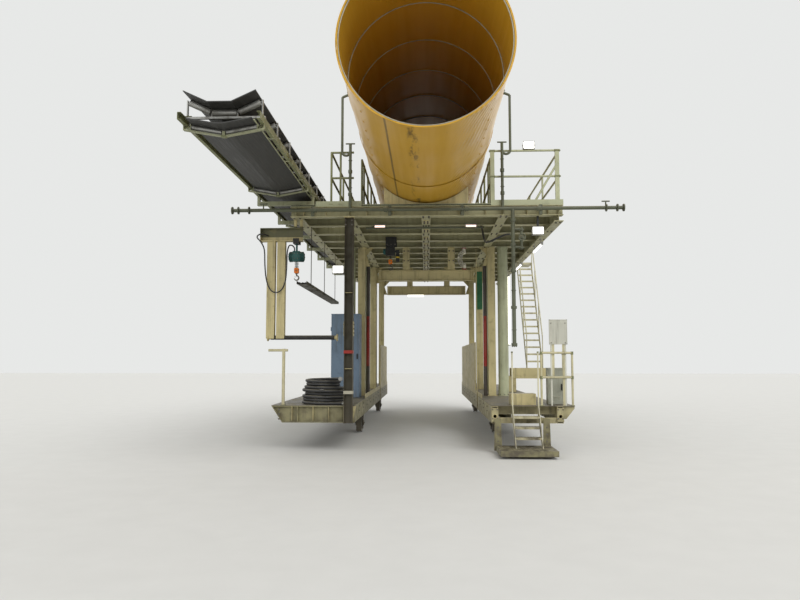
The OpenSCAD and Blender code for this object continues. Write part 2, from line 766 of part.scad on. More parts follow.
module spray_pipes() {
    arch_foot = asin(arch_leg_x / arch_r);
    arch_foot_z = tunnel_axis_z + arch_r * cos(arch_foot);
    color(pipe_green) place() {
        translate([-spray_half_l, spray_y, spray_z]) rotate([0, 90, 0]) {
            cylinder(r = spray_r, h = 2 * spray_half_l);
            for (z = spool_at) for (side = [0, 1]) translate([0, 0, side == 0 ? z : 2 * spray_half_l - z - 20])
                cylinder(r = spray_r + 38, h = 20);
            for (z = [1620, 3000, 2 * spray_half_l - 3000, 2 * spray_half_l - 1620])
                translate([0, 0, z - 35]) cylinder(r = spray_r + 14, h = 70);
        }
        for (x = tee_x) translate([x, spray_y, spray_z]) {
            cylinder(r = 13, h = 125);
            translate([-75, 0, 125]) rotate([0, 90, 0]) cylinder(r = 13, h = 150);
        }
        side_valve();
        translate([drop_x - 60, spray_y, stub_z]) rotate([0, 90, 0]) cylinder(r = 18, h = 60);
        translate([drop_x - 60, spray_y, stub_z]) rotate([0, 90, 0]) cylinder(r = 30, h = 24);
        hose_line();
        for (x = clamp_x) block(x - 30, x + 30, spray_y, -cross_w / 2, portal_h + 5, upper_top - 5);
        for (side = [-1, 1]) mirror([side < 0 ? 1 : 0, 0, 0]) {
            translate([riser_x, spray_y, spray_z]) cylinder(r = spray_r * 0.8, h = riser_top - spray_z);
            translate([(riser_x + arch_leg_x) / 2, spray_y, bend_z]) rotate([90, 0, 0])
                rotate([0, 0, 180]) rotate_extrude(angle = 180) translate([(arch_leg_x - riser_x) / 2, 0])
                    circle(r = arch_pipe_r, $fn = 24);
            translate([arch_leg_x, spray_y, bend_z]) cylinder(r = arch_pipe_r, h = arch_foot_z - bend_z);
            translate([riser_x - 90, spray_y, riser_top + 14]) rotate([0, 90, 0]) cylinder(r = 14, h = 180);
            for (z = [4900, 5350]) translate([riser_x, spray_y, z]) cylinder(r = spray_r * 0.8 + 12, h = 60);
        }
        translate([drop_x, spray_y, drop_z0]) cylinder(r = spray_r * 1.05, h = spray_z - drop_z0);
        for (z = drop_joint_z) translate([drop_x, spray_y, z]) cylinder(r = spray_r + 20, h = 50);
        translate([0, arch_y, tunnel_axis_z]) rotate([90, 0, 0])
            rotate([0, 0, 90 - arch_foot]) rotate_extrude(angle = 2 * arch_foot, $fn = 360)
                translate([arch_r, 0]) circle(r = arch_pipe_r, $fn = 24);
    }
}

// Left outboard runway with its hung posts and hoist

jib_x0 = upper_half_w + 650;
jib_x1 = upper_half_w - 190;
jib_z0 = portal_h - 430;
jib_z1 = jib_z0 + 260;
jib_y = 240;
jib_hanger_x = [upper_half_w - 40, upper_half_w - 160];
jib_post_x = [jib_x0 - 220, jib_x0 - 420];
jib_post_z = 2150;
jib_tube_x = jib_x0 - 160;
jib_tube_l = 1390;

module jib_frame() {
    color(cream) place() translate([0, jib_y, 0]) {
        beam_x(0, jib_z0, -jib_x0, jib_x0 - jib_x1) i_section(jib_z1 - jib_z0, 180, 14, 10);
        for (x = jib_hanger_x) block(-x - 25, -x + 25, -40, 40, jib_z1, portal_h);
        for (x = jib_post_x) block(-x - 80, -x + 80, -60, 60, jib_post_z, jib_z0);
        translate([-jib_tube_x, 0, jib_post_z + 20]) rotate([0, 90, 0]) {
            cylinder(r = 38, h = jib_tube_l);
            for (z = [0, jib_tube_l - 20]) translate([0, 0, z]) cylinder(r = 70, h = 20);
        }
        block(-jib_x0, -jib_x0 + 12, -90, 90, jib_z0 - 20, jib_z1);
    }
}

// A cable tray hung under the upper deck's left side
tray_x = upper_half_w - 140;
tray_w = 200;
tray_z = 3250;
tray_y = [420, 5600];

module cable_tray() {
    color(dark_brown) place() {
        beam_y(-tray_x, tray_z, tray_y[0], tray_y[1] - tray_y[0]) polygon([
            [-tray_w / 2, 0], [tray_w / 2, 0], [tray_w / 2, 60], [tray_w / 2 - 4, 60],
            [tray_w / 2 - 4, 4], [-tray_w / 2 + 4, 4], [-tray_w / 2 + 4, 60], [-tray_w / 2, 60]
        ]);
        for (i = [1:2:5]) block(-tray_x + tray_w / 2, -tray_x + tray_w / 2 + 8, i * bay - 25, i * bay + 25,
            tray_z, portal_h);
    }
}

hoist_l = [70 - upper_half_w, jib_y, jib_z0 - 310];
hoist_r_y = 3 * bay;
hoist_r_x = -820;

module hoist_left() {
    color([0.16, 0.36, 0.36]) place() translate(hoist_l) {
        rotate([0, 90, 0]) translate([0, 0, -140]) cylinder(r = 95, h = 280);
        block(-70, 70, -80, 80, -90, 110);
        block(-12, 12, -40, 40, 110, jib_z0 - hoist_l[2]);
        translate([0, 0, -220]) cylinder(r = 8, h = 150);
    }
}

// A hook block with its swivel shank below a hoist
module hook_block() {
    color([0.85, 0.45, 0.10]) {
        block(-45, 45, -35, 35, -110, 0);
        translate([0, 0, -140]) cylinder(r = 14, h = 32);
        translate([0, 0, -200]) rotate([90, 0, 0]) rotate([0, 0, -60]) rotate_extrude(angle = 250, $fn = 48)
            translate([45, 0]) circle(r = 14, $fn = 24);
        translate([0, 0, -155]) cylinder(r = 14, h = 16);
    }
}

module hook_left() {
    place() translate([hoist_l[0], hoist_l[1], hoist_l[2] - 220 - seat]) hook_block();
}

module hoist_trolley() {
    flange_half = cross_w / 2;
    color([0.12, 0.12, 0.12]) place() translate([hoist_r_x, hoist_r_y, 0]) {
        for (side = [-1, 1]) {
            y = side * (flange_half + moving_gap + 8);
            block(-130, 130, y - 8, y + 8, portal_h - 120, portal_h + 90);
            for (x = [-75, 75]) translate([x, side * (flange_half - 12), portal_h + 15 + 0.5 + 30])
                rotate([90, 0, 0]) cylinder(r = 30, h = 44, center = true);
        }
        block(-60, 60, -flange_half - 20, flange_half + 20, portal_h - 150, portal_h - 60);
        block(-130, 90, -90, 90, portal_h - 330, portal_h - 150);
        block(110, 190, -60, 60, portal_h - 480, portal_h - 200);
        block(89, 111, -40, 40, portal_h - 260, portal_h - 220);
        translate([-20, 0, portal_h - 430]) cylinder(r = 8, h = 110);
    }
}

module hook_right() {
    place() translate([hoist_r_x - 20, hoist_r_y, portal_h - 430 - seat]) hook_block();
}

// Rear stair, foot platform and guard rails

foot_t = 100;
foot_x = [1310, 2340];
// Plates that hang the platform from the deck: left edge, right edge, spacer
leg_plates = [[1290, 1410, 1372], [2210, 2330, 2250]];
leg_taper = 15;
step_n = 3;

module foot_platform() {
    y0 = deck_y0 - foot_l;
    color(cream) place() {
        difference() {
            block(foot_x[0], foot_x[1], y0, deck_y0 - 60, foot_z - foot_t, foot_z);
            block(foot_x[0] + 8, foot_x[1] - 8, y0 + 8, deck_y0 - 68, foot_z - foot_t - 1, foot_z - 12);
        }
        for (leg = leg_plates) {
            beam_y(0, 0, deck_y0 - 60, 20) polygon([
                [leg[0], frame_z + 90], [leg[1], frame_z + 90],
                [leg[1] + leg_taper, foot_z - foot_t], [leg[0] - leg_taper, foot_z - foot_t]
            ]);
            block(leg[2], leg[2] + 35, deck_y0 - 41, deck_y0, frame_z + 20, frame_z + 80);
        }
    }
}

module rear_stair() {
    run = riser / tan(60);
    color(grey_green) place() {
        for (side = [-1, 1]) stair_cheek(stair_x + side * (stair_w / 2 + 10));
        for (i = [1:step_n]) {
            z = deck_h - i * riser;
            y = deck_y0 - i * run;
            block(stair_x - stair_w / 2 - 5, stair_x + stair_w / 2 + 5, y - 120, y + 60, z - 30, z);
        }
    }
}

module stair_cheek(x) {
    run_l = (deck_h - foot_z) / tan(60);
    beam = [
        [deck_y0 - seat, deck_h], [deck_y0 - seat, deck_h - 160],
        [deck_y0 - run_l + 10, foot_z], [deck_y0 - run_l - 130, foot_z], [deck_y0 - 110, deck_h]
    ];
    translate([x - 6, 0, 0]) rotate([90, 0, 90]) linear_extrude(12) polygon(beam);
    tube_between([x, deck_y0 - 70, deck_h - 40], [x, deck_y0 - 70, deck_h + rail_h], 14);
}

// A low step behind the top of the stair
module step_box() {
    a = [1640, deck_y0 + 260];
    b = [2125, deck_y0 + 620];
    color(cream) place() difference() {
        block(a[0], b[0], a[1], b[1], deck_h, deck_h + 215);
        block(a[0] + 6, b[0] - 6, a[1] + 6, b[1] - 6, deck_h - 1, deck_h + 209);
    }
}

deck_rail_y = deck_y0 + 40;
right_rail_x = [right_out - 400, balcony_out - 30];
left_rail_post_x = left_out - 220;
right_rail_l = 900;

module deck_rails() {
    y = deck_rail_y;
    color(grey_green) place() {
        a = right_rail_x[0];
        b = right_rail_x[1];
        for (x = right_rail_x) translate([x, y, deck_h]) cylinder(r = tube_r, h = rail_h - tube_r);
        for (z = [540, rail_h - tube_r]) {
            tube_between([a, y, deck_h + z], [b, y, deck_h + z], tube_r);
            tube_between([b, y, deck_h + z], [b, y + right_rail_l, deck_h + z], tube_r);
        }
        translate([b, y + right_rail_l, deck_h]) cylinder(r = tube_r, h = rail_h - tube_r);
        translate([-left_rail_post_x, y, deck_h]) cylinder(r = 30, h = rail_h + 60);
        tube_between([-left_rail_post_x - 300, y, deck_h + rail_h + 30],
            [-left_rail_post_x + 80, y, deck_h + rail_h + 30], 25);
    }
}

sign_x = [right_out - 240, right_out + 110];
sign_z = [deck_h + 1170, deck_h + 1650];

module sign_board() {
    y = deck_rail_y;
    color([0.72, 0.72, 0.66]) place() {
        block(sign_x[0], sign_x[1], y + tube_r - 10, y + tube_r, sign_z[0], sign_z[1]);
        for (x = [sign_x[0] + 40, sign_x[1] - 40])
            block(x - 15, x + 15, y + tube_r, y + tube_r + 20, deck_h, sign_z[1] - 60);
    }
}

// Cabinets with hinged doors

wall = 3;
tool_box = [[2395, 560, 860], [2700, 780, 1560]];
switch_box = [[-2220, 2850, 860], [-1560, 3350, 2790]];
door_t = 20;
door_gap = 5.5;
barrel_r = 8;
barrel_h = 45;
barrel_off = barrel_r + 0.5;
barrel_pin_r = 4;
// Share of the door's height at which its two hinges sit
barrel_at = [0.15, 0.8];

// Hinges at a door's left edge: a lower knuckle with a pin on the cabinet and
// an upper knuckle on the door
module hinges(a, b, on_door) {
    y = a[1] - door_t - seat;
    for (share = barrel_at) translate([a[0] - barrel_off, y, deck_h + share * (b[2] - deck_h)]) {
        if (on_door) {
            difference() {
                union() {
                    translate([0, 0, barrel_h + seat]) cylinder(r = barrel_r, h = barrel_h, $fn = 24);
                    block(0, barrel_off + 1, 0, 5, barrel_h + seat, 2 * barrel_h + seat);
                }
                translate([0, 0, barrel_h - 1]) cylinder(r = barrel_pin_r + fit, h = barrel_h + 3, $fn = 24);
            }
        } else {
            cylinder(r = barrel_r, h = barrel_h, $fn = 24);
            cylinder(r = barrel_pin_r, h = 2 * barrel_h - 5, $fn = 24);
            block(2, barrel_r, 0, door_t + 40, 0, barrel_h);
            block(2, barrel_off + 1, door_t + 10, door_t + 40, 0, barrel_h);
        }
    }
}

module cabinet(a, b) {
    difference() {
        block(a[0], b[0], a[1], b[1], deck_h, b[2]);
        block(a[0] + wall, b[0] - wall, a[1] - 1, b[1] - wall, deck_h + wall, b[2] - wall);
    }
    hinges(a, b, false);
}

module cabinet_door(a, b) {
    block(a[0], b[0], a[1] - door_t - seat, a[1] - seat, deck_h + door_gap, b[2]);
    hinges(a, b, true);
}

module tool_cabinet() {
    color(steel) place() cabinet(tool_box[0], tool_box[1]);
}

module tool_cabinet_door() {
    color(steel) place() cabinet_door(tool_box[0], tool_box[1]);
}

module switch_cabinet() {
    color([0.45, 0.52, 0.58]) place() cabinet(switch_box[0], switch_box[1]);
}

module switch_cabinet_door() {
    color([0.45, 0.52, 0.58]) place() cabinet_door(switch_box[0], switch_box[1]);
}

// Landing and upper stair

landing_y0 = 5900;
landing_l = 700;

stair_n = 16;
stair_step = (upper_floor_z - landing_z) / stair_n;
stair_run = stair_step / tan(60);
stair_y0 = landing_y0 + landing_l - 40;
stair_top_y = stair_y0 + stair_n * stair_run - 90;
gate_w = 690;

module landing() {
    x0 = right_out - 250;
    x1 = upper_stair_x + upper_stair_w / 2 + 40;
    color(cream) place() {
        block(x0, x1, landing_y0, landing_y0 + landing_l, landing_z - 280, landing_z);
        for (y = [landing_y0 + 60, landing_y0 + landing_l - 60])
            block(x0 + 20, x0 + 100, y - 40, y + 40, deck_h, landing_z - 280);
        for (i = [1:2]) block(x0 - 260, x0 - 20, landing_y0 + 60, landing_y0 + 560,
            deck_h + i * 200 - 30, deck_h + i * 200);
        for (y = [landing_y0 + 48, landing_y0 + 560]) block(x0 - 260, x0, y, y + 12, deck_h, deck_h + 420);
    }
}

module upper_stair() {
    n = stair_n;
    step = stair_step;
    run = stair_run;
    y0 = stair_y0;
    color(cream) place() {
        for (side = [-1, 1]) {
            x = upper_stair_x + side * (upper_stair_w / 2 + 6);
            translate([x - 6, 0, 0]) rotate([90, 0, 90]) linear_extrude(12) polygon([
                [y0 - 90, landing_z], [y0 + 90, landing_z],
                [y0 + 90 + n * run, upper_floor_z], [y0 - 90 + n * run, upper_floor_z]
            ]);
            tube_between([x, y0 - 40, landing_z + 900], [x, y0 - 40 + (n - 1) * run, landing_z + 900 + (n - 1) * step], 17);
            for (i = [0, 5, 10, 15]) tube_between([x, y0 - 40 + i * run, landing_z + i * step + 10],
                [x, y0 - 40 + i * run, landing_z + 900 + i * step], 14);
        }
        for (i = [1:n - 1]) block(upper_stair_x - upper_stair_w / 2, upper_stair_x + upper_stair_w / 2,
            y0 + i * run - 90, y0 + i * run + 90, landing_z + i * step - 25, landing_z + i * step);
        block(upper_half_w, upper_stair_x + upper_stair_w / 2 + 12, stair_top_y, stair_top_y + gate_w,
            upper_floor_z - 60, upper_floor_z);
    }
}

// Guards along the passage, standpipes, lamps

guard_h = 1320;
guard_t = 30;
guard_ends = [[7800, 11200], [4700, 11200]];
strut_t = 16;

module ribbed_guard(x, y0, y1) {
    block(x, x + guard_t / 3, y0, y1, deck_h, deck_h + guard_h);
    for (y = [y0:200:y1 - 60]) block(x, x + guard_t, y, y + 60, deck_h, deck_h + guard_h);
}

module side_guards() {
    color(cream) place() {
        mirror([1, 0, 0]) ribbed_guard(left_in + 4, guard_ends[0][0], guard_ends[0][1]);
        ribbed_guard(right_in + 4, guard_ends[1][0], guard_ends[1][1]);
        block(right_in - strut_t, right_in, portal_y[0] - 65, portal_y[0] - 35, frame_z, portal_h);
        block(-left_in, -left_in + strut_t, portal_y[1] - 65, portal_y[1] - 35, frame_z, portal_h);
    }
}

standpipe_x = 1440;
standpipe_r = 45;

module standpipes() {
    color([0.55, 0.14, 0.10]) place() for (side = [-1, 1])
        translate([side * standpipe_x, portal_y[0], deck_h])
            cylinder(r = standpipe_r, h = wedge_z - deck_h);
}

module flood_lamp() {
    block(-110, 110, -40, 40, 0, 160);
    block(-90, 90, 40, 70, 20, 140);
}

module flood_lamps() {
    top = upper_floor_z + upper_rail_h;
    color([0.9, 0.9, 0.88]) place() {
        translate([2000, rail_y0, top]) flood_lamp();
        translate([2160, 10, portal_h - 370]) {
            flood_lamp();
            block(-20, 20, -20, 20, 160, 370);
        }
    }
}

lamp_r = 25;

module tube_lamps() {
    color([0.95, 0.95, 0.92]) place() {
        translate([column_x + column_r + lamp_r + seat, portal_y[0], 2090]) cylinder(r = lamp_r, h = 1700);
        block(560 - upper_half_w, 640 - upper_half_w, bay * 1.5 - 300, bay * 1.5 + 300, upper_top - 70, upper_top);
        block(-560, -80, portal_y[1] - 50, portal_y[1] + 50, hung_z0 - 55, hung_z0);
    }
}

// A water hose: a tap on the left deck, a run, and a coil of two heaps
hose_r = 30;
coil_r = 400;
coil_top_r = 340;
coil_low_n = 4;
coil_n = 7.75;
coil_c = [-2050, 560];
tap_x = -1600;
tap_nose = 40;
coupling_r = hose_r + 14;

module hose_coil() {
    low_h = hose_r * 2 * (coil_low_n + 1);
    top_h = 2 * hose_r * coil_n + hose_r - coupling_r - seat;
    color(belt_black) place() translate([coil_c[0], coil_c[1], deck_h + seat]) rotate_extrude() polygon([
        [coil_r - hose_r, 0], [coil_r + hose_r, 0], [coil_r + hose_r, low_h], [coil_top_r + hose_r, low_h + 50],
        [coil_top_r + hose_r, top_h], [coil_top_r - hose_r, top_h], [coil_top_r - hose_r, low_h - 60],
        [coil_r - hose_r, low_h - 60]
    ]);
}

module hose_run() {
    x0 = coil_c[0] + sqrt(pow(coil_r + hose_r, 2) - pow(coil_r - hose_r, 2)) + seat;
    color(belt_black) place() translate([x0, coil_c[1] - coil_r, deck_h + hose_r + seat]) rotate([0, 90, 0])
        cylinder(r = hose_r, h = tap_x - tap_nose - x0);
}

module hose_tap() {
    color(steel) place() translate([tap_x, coil_c[1] - coil_r, deck_h]) {
        block(0, 80, -40, 40, 0, 75);
        translate([40, 0, 70]) cylinder(r = 16, h = 70);
        block(0, 80, -8, 8, 135, 145);
        translate([-tap_nose, 0, hose_r + seat]) rotate([0, 90, 0]) cylinder(r = hose_r - 4, h = tap_nose + 10);
    }
}

// The coupling at the hose's loose end, on the coil's last turn
module hose_end() {
    a = -90 - 360 * coil_n;
    color(steel) place() translate([coil_c[0], coil_c[1], deck_h + hose_r + seat + 2 * hose_r * coil_n])
        rotate([0, 0, a]) translate([coil_top_r, 0, 0]) rotate([90, 0, 0]) {
            cylinder(r = hose_r + 4, h = 110);
            translate([0, 0, 60]) cylinder(r = coupling_r, h = 22);
        }
}

// Cords that hang between two fittings: one tube with a ring of corners at each point of a smooth curve
function unit(v) = v / norm(v);
function spread(p, i) = p[min(max(i, 0), len(p) - 1)];
function curve_point(a, b, c, d, t) =
    0.5 * (2 * b + (c - a) * t + (2 * a - 5 * b + 4 * c - d) * t * t + (3 * b - a - 3 * c + d) * t * t * t);
function smooth_line(p, steps) = concat(
    [for (i = [0:len(p) - 2]) for (k = [0:steps - 1])
        curve_point(spread(p, i - 1), p[i], p[i + 1], spread(p, i + 2), k / steps)],
    [p[len(p) - 1]]);
function heading(p, i) = unit(spread(p, i + 1) - spread(p, i - 1));
function side_of(u, t) = unit(u - t * (t * u));
function sides_along(p, i = 0, u = [0, 0, 1]) =
    i == len(p) ? [] : let (s = side_of(u, heading(p, i))) concat([s], sides_along(p, i + 1, s));

module cord_tube(points, r) {
    n = 10;
    last = len(points) - 1;
    curve = smooth_line(points, 2);
    line = concat(
        [points[0], points[0] + 4 * unit(points[1] - points[0])],
        [for (i = [1:len(curve) - 2]) curve[i]],
        [points[last] + 4 * unit(points[last - 1] - points[last]), points[last]]
    );
    m = len(line);
    sides = sides_along(line);
    corners = [
        for (i = [0:m - 1]) for (j = [0:n - 1])
            let (a = 360 * j / n, w = cross(heading(line, i), sides[i]))
            line[i] + r * (cos(a) * sides[i] + sin(a) * w)
    ];
    skin = [
        for (i = [0:m - 2]) for (j = [0:n - 1]) for (k = [0, 1])
            let (a = i * n + j, b = i * n + (j + 1) % n)
            k == 0 ? [a, a + n, b + n] : [a, b + n, b]
    ];
    ends = [[for (j = [0:n - 1]) j], [for (j = [0:n - 1]) m * n - 1 - j]];
    polyhedron(points = corners, faces = concat(skin, ends));
}

cable_r = 13;
cable_points = [
    [-3150, 234.7, 4195], [-3150, 195, 4195], [-3210, 140, 4212], [-3300, 130, 4208], [-3345, 130, 4150],
    [-3270, 130, 4060], [-3195, 130, 3900], [-3180, 130, 3600], [-3150, 130, 3330], [-3080, 130, 3130],
    [-2960, 130, 3050], [-2840, 130, 3110], [-2765, 130, 3300], [-2745, 130, 3600], [-2740, 140, 3850],
    [-2715, 185, 3985], [-2660, 228, 3998], [-2618, 240, 3945], [-2618, 240, 3880.3]
];

module hoist_cable() {
    color(belt_black) place() cord_tube(cable_points, cable_r);
}

spray_hose_r = 20;
spray_hose_points = [
    [1140, 850, 4471], [1140, 800, 4471], [1142, 740, 4440], [1148, 640, 4300], [1160, 520, 4150],
    [1185, 390, 4075], [1235, 250, 4055], [1330, 110, 4070], [1430, -10, 4100], [1500, -105, 4122], [1555, -150, 4130],
    [1599.5, -150, 4130]
];

module spray_hose() {
    color(belt_black) place() cord_tube(spray_hose_points, spray_hose_r);
}

// Tow links to the next gantry

module tow_link(x) {
    color(dark_brown) place() translate([x, tow_pin_y, tow_z]) difference() {
        union() {
            block(-45, 45, 0, tow_l, -15, 15);
            for (y = [0, tow_l]) translate([0, y, -tow_eye_t / 2]) cylinder(r = tow_head_r, h = tow_eye_t);
        }
        for (y = [0, tow_l]) translate([0, y, -tow_eye_t]) cylinder(r = tow_eye_r, h = 2 * tow_eye_t);
    }
}

module tow_link_left() { tow_link(tow_x[0]); }
module tow_link_right() { tow_link(tow_x[1]); }

left_deck_frame();
left_deck_floor();
right_deck_frame();
right_deck_floor();
wheel_boxes_left();
wheel_boxes_right();
wheel_rear_left();
wheel_rear_right();
wheel_front_left();
wheel_front_right();
posts_left();
posts_right();
round_columns();
hung_frames();
rear_post();
upper_frame();
upper_floor();
upper_rails_left();
upper_rails_right();
duct_rails();
duct_cradle();
duct();
conveyor_stringers();
conveyor_frame();
conveyor_idlers();
conveyor_belt();
spray_pipes();
cable_tray();
jib_frame();
hoist_left();
hook_left();
hoist_trolley();
hook_right();
foot_platform();
rear_stair();
step_box();
deck_rails();
sign_board();
tool_cabinet();
tool_cabinet_door();
switch_cabinet();
switch_cabinet_door();
landing();
upper_stair();
side_guards();
standpipes();
flood_lamps();
tube_lamps();
hose_tap();
hose_run();
hose_coil();
hose_end();
hoist_cable();
spray_hose();
tow_link_left();
tow_link_right();
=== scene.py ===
"""Looks of the rear backup gantry of a tunnel boring machine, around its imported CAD.

Shapes and cords are in millimetres in the part's own construction frame: y = 0 is the rear
crossbeam's middle and z = 0 is the rail top. world() turns them into the row frame in metres.
"""
import json
import math
from itertools import product

import bmesh
import bpy
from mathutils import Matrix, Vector, noise

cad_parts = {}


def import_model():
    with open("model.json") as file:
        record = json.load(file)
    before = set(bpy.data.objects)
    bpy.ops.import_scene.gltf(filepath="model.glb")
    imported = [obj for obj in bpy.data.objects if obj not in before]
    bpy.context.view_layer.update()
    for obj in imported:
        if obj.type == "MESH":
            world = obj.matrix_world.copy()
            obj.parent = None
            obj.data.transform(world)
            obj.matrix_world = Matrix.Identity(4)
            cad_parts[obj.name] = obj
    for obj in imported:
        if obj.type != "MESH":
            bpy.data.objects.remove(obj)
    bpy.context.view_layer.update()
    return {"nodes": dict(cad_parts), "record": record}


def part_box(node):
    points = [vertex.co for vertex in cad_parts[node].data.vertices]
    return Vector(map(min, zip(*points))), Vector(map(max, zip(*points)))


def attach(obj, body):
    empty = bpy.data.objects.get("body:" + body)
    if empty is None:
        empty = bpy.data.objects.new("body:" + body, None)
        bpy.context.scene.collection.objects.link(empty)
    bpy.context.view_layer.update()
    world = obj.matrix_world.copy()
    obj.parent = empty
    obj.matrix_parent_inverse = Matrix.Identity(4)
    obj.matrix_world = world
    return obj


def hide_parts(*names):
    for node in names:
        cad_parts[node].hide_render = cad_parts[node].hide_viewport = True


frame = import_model()
NODES = frame["nodes"]

# Where the construction frame's origin is in the row frame, and a millimetre, in metres
LOW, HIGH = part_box("rear_post")
REAR_Y = (LOW.y + HIGH.y) / 2
RAIL_Z = 0.025
MM = 0.001

# Sizes that part.scad also has, in millimetres
BAY, BAYS = 950, 12
DECK_H, DECK_Y0, DECK_Y1 = 860, 90, 11490
LEFT_IN, RIGHT_IN, RIGHT_OUT, DECK_RAIL_X, DECK_RAIL_Y = -1390, 1240, 2600, (2200, 2790), 130
PORTAL_H, UPPER_TOP, UPPER_FLOOR = 4510, 4710, 4750
PORTAL_Y = [4 * BAY, 8 * BAY, 12 * BAY]
POST_X, COLUMN_X, REAR_POST_X = 1598, 1880, -1495
WHEEL_X, WHEEL_Y, AXLE_Z, TOW_PIN_Y = 1635, (4 * BAY, 11 * BAY), 200, 11575
DUCT_R, DUCT_Z, DUCT_Y0, DUCT_Y1 = 1200, 5975, -4500, 11890
BELT_X, BELT_HALF, STRINGER_Z = -2750, 560, 4930
BRACKET_N, BRACKET_Y0, BRACKET_PITCH = 5, -4230, 3500
SPRAY_Y, SPRAY_Z, SPRAY_HALF_L, DROP_X = -150, 4630, 3780, 1660
ARCH_R, ARCH_LEG_X, TUNNEL_AXIS_Z = 4040, 1630, 3170
UPPER_RAIL_H, MID_RAIL, RAIL_R, RAIL_Y0 = 1060, 530, 21, -50
RAIL_LEFT_X, RAIL_RIGHT_X, DUCT_RAIL_X = -1850, 2580, 1300
RISER, STAIR_TAN, FOOT_Z = 185, math.tan(math.radians(60)), 120
LANDING_Z, STAIR_Y0, STAIR_N = 1500, 6560, 16
TOOL_BOX = ((2395, 560, 860), (2700, 780, 1560))
SWITCH_BOX = ((-2220, 2850, 860), (-1560, 3350, 2790))

RIGHT, REAR, UP, DOWN = (1, 0, 0), (0, -1, 0), (0, 0, 1), (0, 0, -1)


def world(x, y, z):
    return Vector((x * MM, REAR_Y + y * MM, z * MM + RAIL_Z))


def add_object(name, data):
    obj = bpy.data.objects.new(name, data)
    bpy.context.scene.collection.objects.link(obj)
    return obj


# Camera

CAMERA_BACK, CAMERA_UP, CAMERA_TILT, CAMERA_TURN = 13.46, 1.75, 4.818, 2.161
camera_data = bpy.data.cameras.new("camera")
camera_data.lens, camera_data.sensor_width, camera_data.clip_end = 31.5, 36.0, 200.0
camera = add_object("camera", camera_data)
camera.location = (0.0, REAR_Y - CAMERA_BACK, CAMERA_UP + RAIL_Z)
camera.rotation_euler = (math.radians(90 + CAMERA_TILT), 0.0, math.radians(CAMERA_TURN))
bpy.context.scene.camera = camera


# Materials

def feed(socket, value):
    """Gives an input socket a link or a plain value."""
    if hasattr(value, "is_linked"):
        socket.id_data.links.new(value, socket)
    else:
        socket.default_value = value


def new_node(tree, kind, *inputs, **named):
    """A shader node, with its first inputs and those given by name fed."""
    node = tree.nodes.new("ShaderNode" + kind)
    for socket, value in zip(node.inputs, inputs):
        feed(socket, value)
    for name, value in named.items():
        feed(node.inputs[name], value)
    return node


def shade(colour, factor):
    return [c * factor for c in colour]


class Nodes:
    """A short way to write a node tree that ends in one Principled shader. colour is the base
    colour, which cover() changes and set() feeds to the shader."""

    def __init__(self, name, colour):
        self.colour = colour
        self.material = bpy.data.materials.new(name)
        self.material.use_nodes = True
        self.tree = self.material.node_tree
        self.tree.nodes.clear()
        self.shader = new_node(self.tree, "BsdfPrincipled")
        new_node(self.tree, "OutputMaterial", self.shader.outputs[0])
        self.coords = new_node(self.tree, "TexCoord").outputs

    def math(self, operation, a, b=0.0):
        node = new_node(self.tree, "Math", a, b)
        node.operation = operation
        return node.outputs[0]

    def times(self, a, b):
        return self.math("MULTIPLY", a, b)

    def noise(self, scale, detail=3.0, stretch=None, rough=0.55):
        place = self.coords["Object"]
        if stretch:
            place = new_node(self.tree, "Mapping", Vector=place, Scale=stretch).outputs[0]
        node = new_node(self.tree, "TexNoise", Vector=place, Scale=scale, Detail=detail, Roughness=rough)
        return node.outputs["Fac"]

    def ramp(self, value, low, high, to_low=0.0, to_high=1.0):
        node = new_node(self.tree, "MapRange", value, low, high, to_low, to_high)
        node.interpolation_type = "SMOOTHSTEP"
        return node.outputs[0]

    def mix(self, factor, a, b):
        node = new_node(self.tree, "Mix", factor)
        node.data_type = "RGBA"
        for socket, value in ((node.inputs[6], a), (node.inputs[7], b)):
            feed(socket, value if hasattr(value, "is_linked") else (*value, 1.0))
        return node.outputs[2]

    def cover(self, factor, colour):
        """Lays another colour over the colour so far."""
        self.colour = self.mix(factor, self.colour, colour)

    def axis(self, which, coords="Object"):
        return new_node(self.tree, "SeparateXYZ", self.coords[coords]).outputs["XYZ".index(which)]

    def up(self, low, high, to_low=0.0, to_high=1.0):
        """How far the surface faces up."""
        return self.ramp(self.axis("Z", "Normal"), low, high, to_low, to_high)

    def bump(self, height, strength, distance):
        node = new_node(self.tree, "Bump", Strength=strength, Distance=distance, Height=height)
        feed(self.shader.inputs["Normal"], node.outputs[0])

    def set(self, **values):
        for name, value in {"Base_Color": self.colour, **values}.items():
            feed(self.shader.inputs[name.replace("_", " ")], value)
        return self.material


DUST = (0.40, 0.36, 0.26)
GRIME = (0.085, 0.072, 0.048)
RUST = (0.13, 0.055, 0.022)


